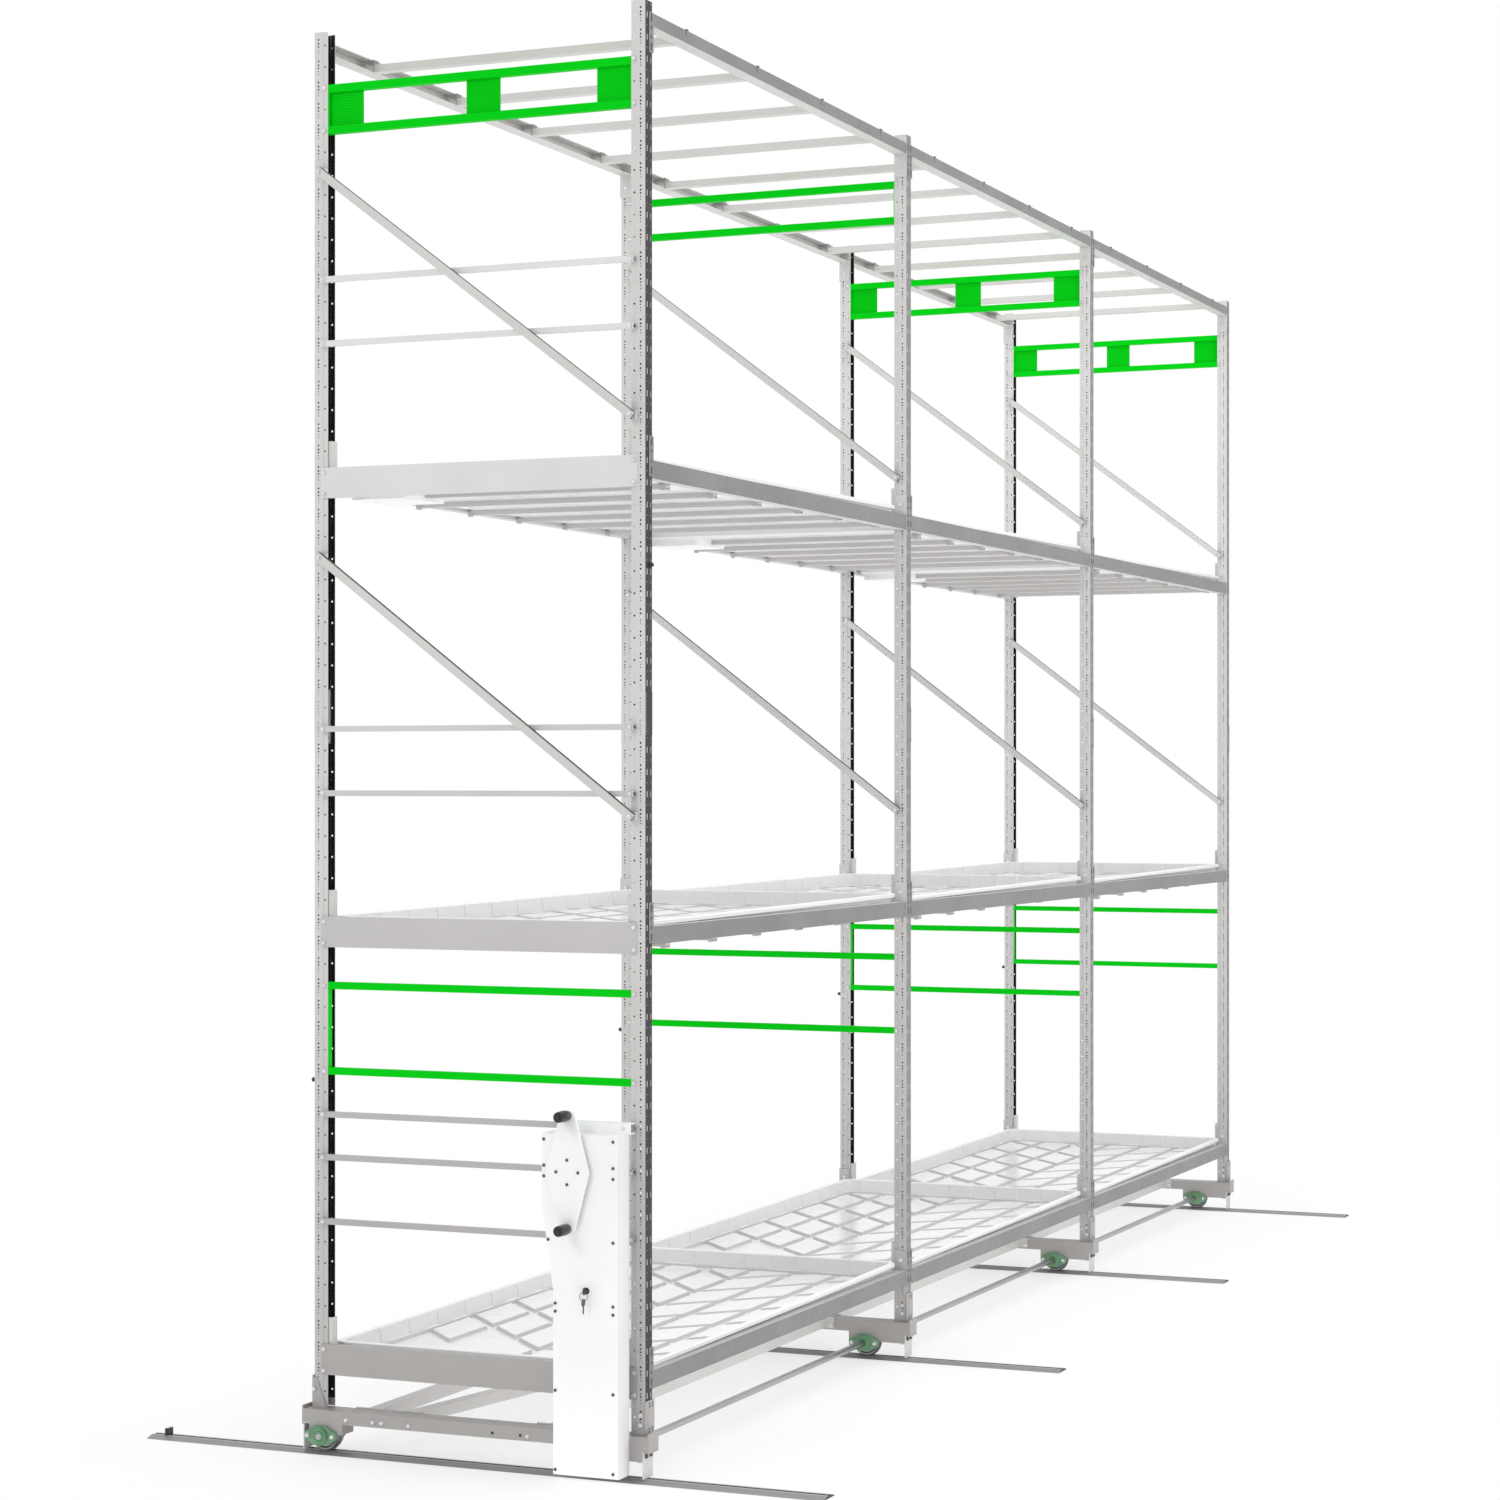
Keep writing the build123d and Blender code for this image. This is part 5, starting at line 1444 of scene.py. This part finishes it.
class RACK_OT_connections(bpy.types.Operator):
    """Make the slots, bolts and pins of the connectors, feet, ties and guards"""

    bl_idname = "rack.connections"
    bl_label = "Connections"

    def execute(self, context):
        self.connector_details()
        self.foot_details()
        self.tie_bolts()
        self.pins()
        self.connector_plates()
        self.hook_tabs()
        return {"FINISHED"}

    def connector_details(self):
        slots = []
        squares = []
        bolts = []
        outer = POST_X + 0.003
        leg = 0.003
        for node in ("lower_connectors", "middle_connectors", "upper_connectors", "top_connectors"):
            bottom = low(node).z
            for bay in range(FRAME_COUNT - 1):
                for side in SIDES:
                    facing = FACE_RIGHT if side > 0 else FACE_LEFT
                    for y in (frame_y(bay) + POST_Y + 0.0145, frame_y(bay + 1) + POST_Y - 0.0145):
                        for share in (0.14, 0.86):
                            slots.append(((side * outer, y, bottom + 0.136 * share), facing))
                        for share in (0.38, 0.62):
                            squares.append(((side * outer, y, bottom + 0.136 * share), facing))
                    x = side * (POST_X - 0.024)
                    for share in (0.3, 0.7):
                        z = bottom + 0.136 * share
                        bolts.append(((x, frame_y(bay) + POST_Y + POST_WIDTH / 2 + leg, z), FACE_BACK))
                        bolts.append(((x, frame_y(bay + 1) + POST_Y - POST_WIDTH / 2 - leg, z), FACE_FRONT))
        add_marks("connector_slots", 0.009, 0.026, slots)
        add_marks("connector_squares", 0.008, 0.010, squares)
        add_bolts("connector_bolts", bolts, "bright", 0.014, 0.005)

    def foot_details(self):
        squares = []
        plates = []
        bolts = []
        outer = high("post_feet").x
        foot_height = high("post_feet").z - BASE_TOP
        for index in range(FRAME_COUNT):
            for side in SIDES:
                facing = FACE_RIGHT if side > 0 else FACE_LEFT
                middle = frame_y(index) + POST_Y + side * 0.0065
                for share in (0.13, 0.87):
                    for across in (-0.012, 0.012):
                        for rise in (-0.005, 0.005):
                            z = BASE_TOP + foot_height * share + rise
                            squares.append(((side * outer, middle + across, z), facing))
                plates.append(((side * outer, middle, BASE_TOP + foot_height / 2), facing))
                front = frame_y(index) + (low("post_feet").y if side < 0 else POST_FRONT)
                for rise in ((0.066,) if side < 0 else (0.033, 0.066)):
                    across = 0.004 if side < 0 else 0.017
                    bolts.append(((side * (POST_X - across), front, BASE_TOP + rise), FACE_FRONT))
        add_marks("foot_holes", 0.009, 0.006, squares)
        unit = mark_unit("foot_panel_unit", 0.052, 0.062, 0.001)
        panels = repeated("foot_panels", unit, plates, "front")
        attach(panels, "carriage")
        add_bolts("foot_bolts", bolts, "bright", 0.013, 0.005)

    def tie_bolts(self):
        bolts = []
        face = 0.040 + 0.004
        for bay in range(FRAME_COUNT - 1):
            for start, end in ((-0.434, -0.434), (0.275, 0.275), (-0.292, 0.135)):
                for across in (-0.0535, 0.0535):
                    z = BASE_TOP - 0.028
                    bolts.append(((start + across, frame_y(bay) + face, z), FACE_BACK))
                    bolts.append(((end + across, frame_y(bay + 1) - face, z), FACE_FRONT))
        add_bolts("tie_bolts", bolts, "bright", 0.016, 0.006)
        holes = []
        for index in range(FRAME_COUNT):
            for x in (0.081, 0.188):
                holes.append(((x, frame_y(index) + BEAM_FRONT, BASE_TOP - 0.028), FACE_FRONT))
        add_marks("beam_holes", 0.010, 0.010, holes)
        guards = []
        guard_low = low("rail_guards")
        for index in range(FRAME_COUNT):
            for y in (-0.018, 0.018):
                guards.append(((high("wheel_housings").x + 0.004, frame_y(index) + y, 0.088), FACE_RIGHT))
                guards.append(((guard_low.x, frame_y(index) + y, 0.088), FACE_LEFT))
        add_bolts("guard_bolts", guards, "screw", 0.013, 0.0055)

    def pins(self):
        """Pins through the posts: black-tipped ones in the left posts and one in the front right post."""
        left = Shape()
        for index in range(FRAME_COUNT):
            y = frame_y(index) + POST_Y
            z = BASE_TOP + 1.150
            for across in (-0.013, 0.013):
                self.pin(left, (-POST_X - 0.018, y + across, z), (-POST_X + 0.014, y + across, z), 0.008)
        y = POST_Y + 0.012
        z = BASE_TOP + 2.930
        self.pin(left, (POST_X - 0.004, y, z), (POST_X + 0.006, y, z), 0.012)
        self.pin(left, (POST_X + 0.005, y, z), (POST_X + 0.012, y, z), 0.007)
        made = piece("post_pins", left.corners, left.faces, "hole", smooth=True)
        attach(made, "carriage")
        splices = Shape()
        for index in range(FRAME_COUNT):
            for side in SIDES:
                y = frame_y(index) + POST_Y
                outer = side * (POST_X + 0.0015)
                corners = ((min(side * POST_X, outer), y - 0.025, SPLICE_Z - 0.072),
                           (max(side * POST_X, outer), y + 0.025, SPLICE_Z + 0.072))
                splices.box(*corners)
        made = piece("splice_plates", splices.corners, splices.faces, "post")
        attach(made, "carriage")
        holes = []
        for index in range(FRAME_COUNT):
            for side in SIDES:
                facing = FACE_RIGHT if side > 0 else FACE_LEFT
                for rise in (-0.060, 0.060):
                    for across in (-0.0145, 0.0145):
                        y = frame_y(index) + POST_Y + across
                        holes.append(((side * (POST_X + 0.0015), y, SPLICE_Z + rise), facing))
        add_marks("splice_holes", 0.008, 0.008, holes)

    def connector_plates(self):
        """Folded plates that stand above the fascias beside each post, where the side beams hook in."""
        edge = POST_X - 0.053
        plates = Shape()
        for level in LEVELS:
            bottom = low(level + "_connectors").z
            top = high(level + "_connectors").z + 0.028
            for index in range(FRAME_COUNT):
                front = frame_y(index) + POST_FRONT + 0.008
                for side in SIDES:
                    plan = [(edge + 0.012, front), (edge - 0.015, front), (edge - 0.015, front + 0.035),
                            (edge - 0.013, front + 0.035), (edge - 0.013, front + 0.002),
                            (edge + 0.012, front + 0.002)]
                    plates.rings([[(side * x, y, z) for x, y in plan] for z in (bottom, top)])
        made = piece("connector_plates", plates.corners, plates.faces, "pale")
        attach(made, "carriage")

    def hook_tabs(self):
        """Folded ends of the lamp bars' hooks, over the top beams."""
        top = high("top_beams").z
        lowest = low("light_bars").y
        highest = high("light_bars").y
        count = 4 * (FRAME_COUNT - 1)
        width = 0.041
        pitch = (highest - lowest - width) / (count - 1)
        tabs = Shape()
        for index in range(count):
            y = lowest + width / 2 + index * pitch
            for side in SIDES:
                outer = side * (POST_X + 0.002)
                inner = side * (high("light_bar_hooks").x - 0.004)
                tabs.box((min(side * POST_X, outer), y - 0.008, top - 0.018),
                         (max(side * POST_X, outer), y + 0.008, top + 0.004))
                tabs.box((min(outer, inner), y - 0.008, top + 0.0002),
                         (max(outer, inner), y + 0.008, top + 0.004))
        made = piece("hook_tabs", tabs.corners, tabs.faces, "hook")
        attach(made, "carriage")

    def pin(self, shape, start, end, radius):
        """Pin along X with a rounded outer end."""
        rings = []
        direction = 1 if end[0] > start[0] else -1
        outer_first = abs(start[0]) > abs(end[0])
        stations = [(start[0], 0.55), (start[0] + direction * 0.003, 1), (end[0], 1)]
        if not outer_first:
            stations = [(start[0], 1), (end[0] - direction * 0.003, 1), (end[0], 0.55)]
        for x, share in stations:
            rings.append([(x, start[1] + radius * share * cos(2 * pi * step / 16),
                           start[2] + radius * share * sin(2 * pi * step / 16)) for step in range(16)])
        shape.rings(rings)


# Stage


def aim(thing, target):
    """Turn a lamp towards a point."""
    thing.rotation_euler = (Vector(target) - thing.location).to_track_quat("-Z", "Y").to_euler()


class RACK_OT_stage(bpy.types.Operator):
    """Set up the floor, the lights and the camera"""

    bl_idname = "rack.stage"
    bl_label = "Stage"

    def execute(self, context):
        shape = Shape()
        reach = 60
        corners = ((-reach, -reach), (reach, -reach), (reach, reach), (-reach, reach))
        shape.add([(x, y, -0.001) for x, y in corners], [(0, 1, 2, 3)])
        floor = piece("studio_floor", shape.corners, shape.faces)
        floor.data.materials.append(self.floor_paint())
        self.make_world(context)
        for name, place, target, power, size in (
            ("key_light", (-5.0, -13.0, 11.0), (0, 3.0, 2.4), 420, 5.0),
            ("top_light", (1.0, 4.0, 12.0), (0, 4.0, 2.0), 420, 8.0),
            ("side_light", (9.0, 3.0, 4.5), (0, 3.6, 1.2), 260, 6.0),
            ("floor_light", (0, 3.8, 0.005), (0, 3.8, 4.0), 70, 9.0),
        ):
            data = bpy.data.lights.new(name, "AREA")
            data.energy = power
            data.size = size
            lamp = bpy.data.objects.new(name, data)
            lamp.location = place
            lamp.visible_camera = False
            lamp.visible_glossy = False
            aim(lamp, target)
            context.scene.collection.objects.link(lamp)
        camera_data = bpy.data.cameras.new("camera")
        camera_data.sensor_width = 36
        camera_data.lens = 78.79
        camera_data.shift_y = 0.01985
        camera_data.clip_end = 200
        camera = bpy.data.objects.new("camera", camera_data)
        camera.location = (5.294, -10.042 + POST_Y, 2.359)
        camera.rotation_euler = (pi / 2, 0, radians(23.096))
        context.scene.collection.objects.link(camera)
        context.scene.camera = camera
        context.scene.view_settings.view_transform = "Standard"
        return {"FINISHED"}

    def floor_paint(self):
        """Pale floor that keeps the rack's shadow and turns plain white away from the rack."""
        material, nodes, links, shader = node_tree("studio_floor_paint")
        links.new(tinted(nodes, links, (0.96, 0.96, 0.96), noise(nodes, links, 0.5), 0.99, 1.01),
                  shader.inputs["Base Color"])
        shader.inputs["Roughness"].default_value = 0.8
        coordinates = nodes.new("ShaderNodeTexCoord")
        shift = nodes.new("ShaderNodeVectorMath")
        shift.operation = "SUBTRACT"
        shift.inputs[1].default_value = (0, bay_centre(1), 0)
        links.new(coordinates.outputs["Object"], shift.inputs[0])
        squeeze = nodes.new("ShaderNodeVectorMath")
        squeeze.operation = "MULTIPLY"
        squeeze.inputs[1].default_value = (1, 0.45, 0)
        links.new(shift.outputs["Vector"], squeeze.inputs[0])
        distance = nodes.new("ShaderNodeVectorMath")
        distance.operation = "LENGTH"
        links.new(squeeze.outputs["Vector"], distance.inputs[0])
        away = nodes.new("ShaderNodeMapRange")
        away.interpolation_type = "SMOOTHSTEP"
        away.inputs["From Min"].default_value = 1.2
        away.inputs["From Max"].default_value = 3.2
        away.inputs["To Min"].default_value = 0.55
        links.new(distance.outputs["Value"], away.inputs["Value"])
        white = nodes.new("ShaderNodeEmission")
        mix = nodes.new("ShaderNodeMixShader")
        links.new(away.outputs["Result"], mix.inputs["Fac"])
        links.new(shader.outputs["BSDF"], mix.inputs[1])
        links.new(white.outputs["Emission"], mix.inputs[2])
        links.new(mix.outputs["Shader"], nodes["Material Output"].inputs["Surface"])
        return material

    def seen_share(self, nodes, links):
        """One for rays that come from the camera, from a gloss or through something clear."""
        path = nodes.new("ShaderNodeLightPath")
        total = path.outputs["Is Camera Ray"]
        for name in ("Is Glossy Ray", "Is Transmission Ray"):
            add = nodes.new("ShaderNodeMath")
            add.operation = "MAXIMUM"
            links.new(total, add.inputs[0])
            links.new(path.outputs[name], add.inputs[1])
            total = add.outputs["Value"]
        return total

    def make_world(self, context):
        """Even light, and a white background for everything that sees it."""
        world = bpy.data.worlds.new("studio_world")
        world.use_nodes = True
        nodes = world.node_tree.nodes
        links = world.node_tree.links
        strength = nodes.new("ShaderNodeMapRange")
        strength.inputs["To Min"].default_value = 0.8
        strength.inputs["To Max"].default_value = 1.0
        links.new(self.seen_share(nodes, links), strength.inputs["Value"])
        background = nodes["Background"]
        background.inputs["Color"].default_value = (1, 1, 1, 1)
        links.new(strength.outputs["Result"], background.inputs["Strength"])
        context.scene.world = world


class RACK_OT_finishes(bpy.types.Operator):
    """Give the pieces that come from the frame their finishes"""

    bl_idname = "rack.finishes"
    bl_label = "Frame Finishes"

    def execute(self, context):
        for node, name in NODE_FINISH.items():
            body = frame["nodes"][node]
            body.data.materials.clear()
            body.data.materials.append(finish(name))
            body.data.polygons.foreach_set("material_index", [0] * len(body.data.polygons))
        return {"FINISHED"}


class RACK_PT_panel(bpy.types.Panel):
    """Sizes, colours and steps of the rack"""

    bl_idname = "RACK_PT_panel"
    bl_label = "Grow Rack"
    bl_space_type = "VIEW_3D"
    bl_region_type = "UI"
    bl_category = "Grow Rack"

    def draw(self, context):
        layout = self.layout
        for group in (context.scene.rack_sizes, context.scene.rack_colours):
            box = layout.box()
            for name in group.__annotations__:
                box.prop(group, name)
        for operator in OPERATORS:
            layout.operator(operator.bl_idname)


OPERATORS = (RACK_OT_finishes, RACK_OT_posts, RACK_OT_trays, RACK_OT_bars, RACK_OT_bolts, RACK_OT_column,
             RACK_OT_crank, RACK_OT_wheels, RACK_OT_connections, RACK_OT_stage)
CLASSES = (RackSizes, RackColours) + OPERATORS + (RACK_PT_panel,)


def register():
    for one in CLASSES:
        bpy.utils.register_class(one)
    bpy.types.Scene.rack_sizes = PointerProperty(type=RackSizes)
    bpy.types.Scene.rack_colours = PointerProperty(type=RackColours)


def unregister():
    del bpy.types.Scene.rack_colours
    del bpy.types.Scene.rack_sizes
    for one in reversed(CLASSES):
        bpy.utils.unregister_class(one)


def main():
    register()
    bpy.ops.rack.finishes()
    bpy.ops.rack.posts()
    bpy.ops.rack.trays()
    bpy.ops.rack.bars()
    bpy.ops.rack.bolts()
    bpy.ops.rack.column()
    bpy.ops.rack.crank()
    bpy.ops.rack.wheels()
    bpy.ops.rack.connections()
    bpy.ops.rack.stage()


if __name__ == "__main__":
    main()
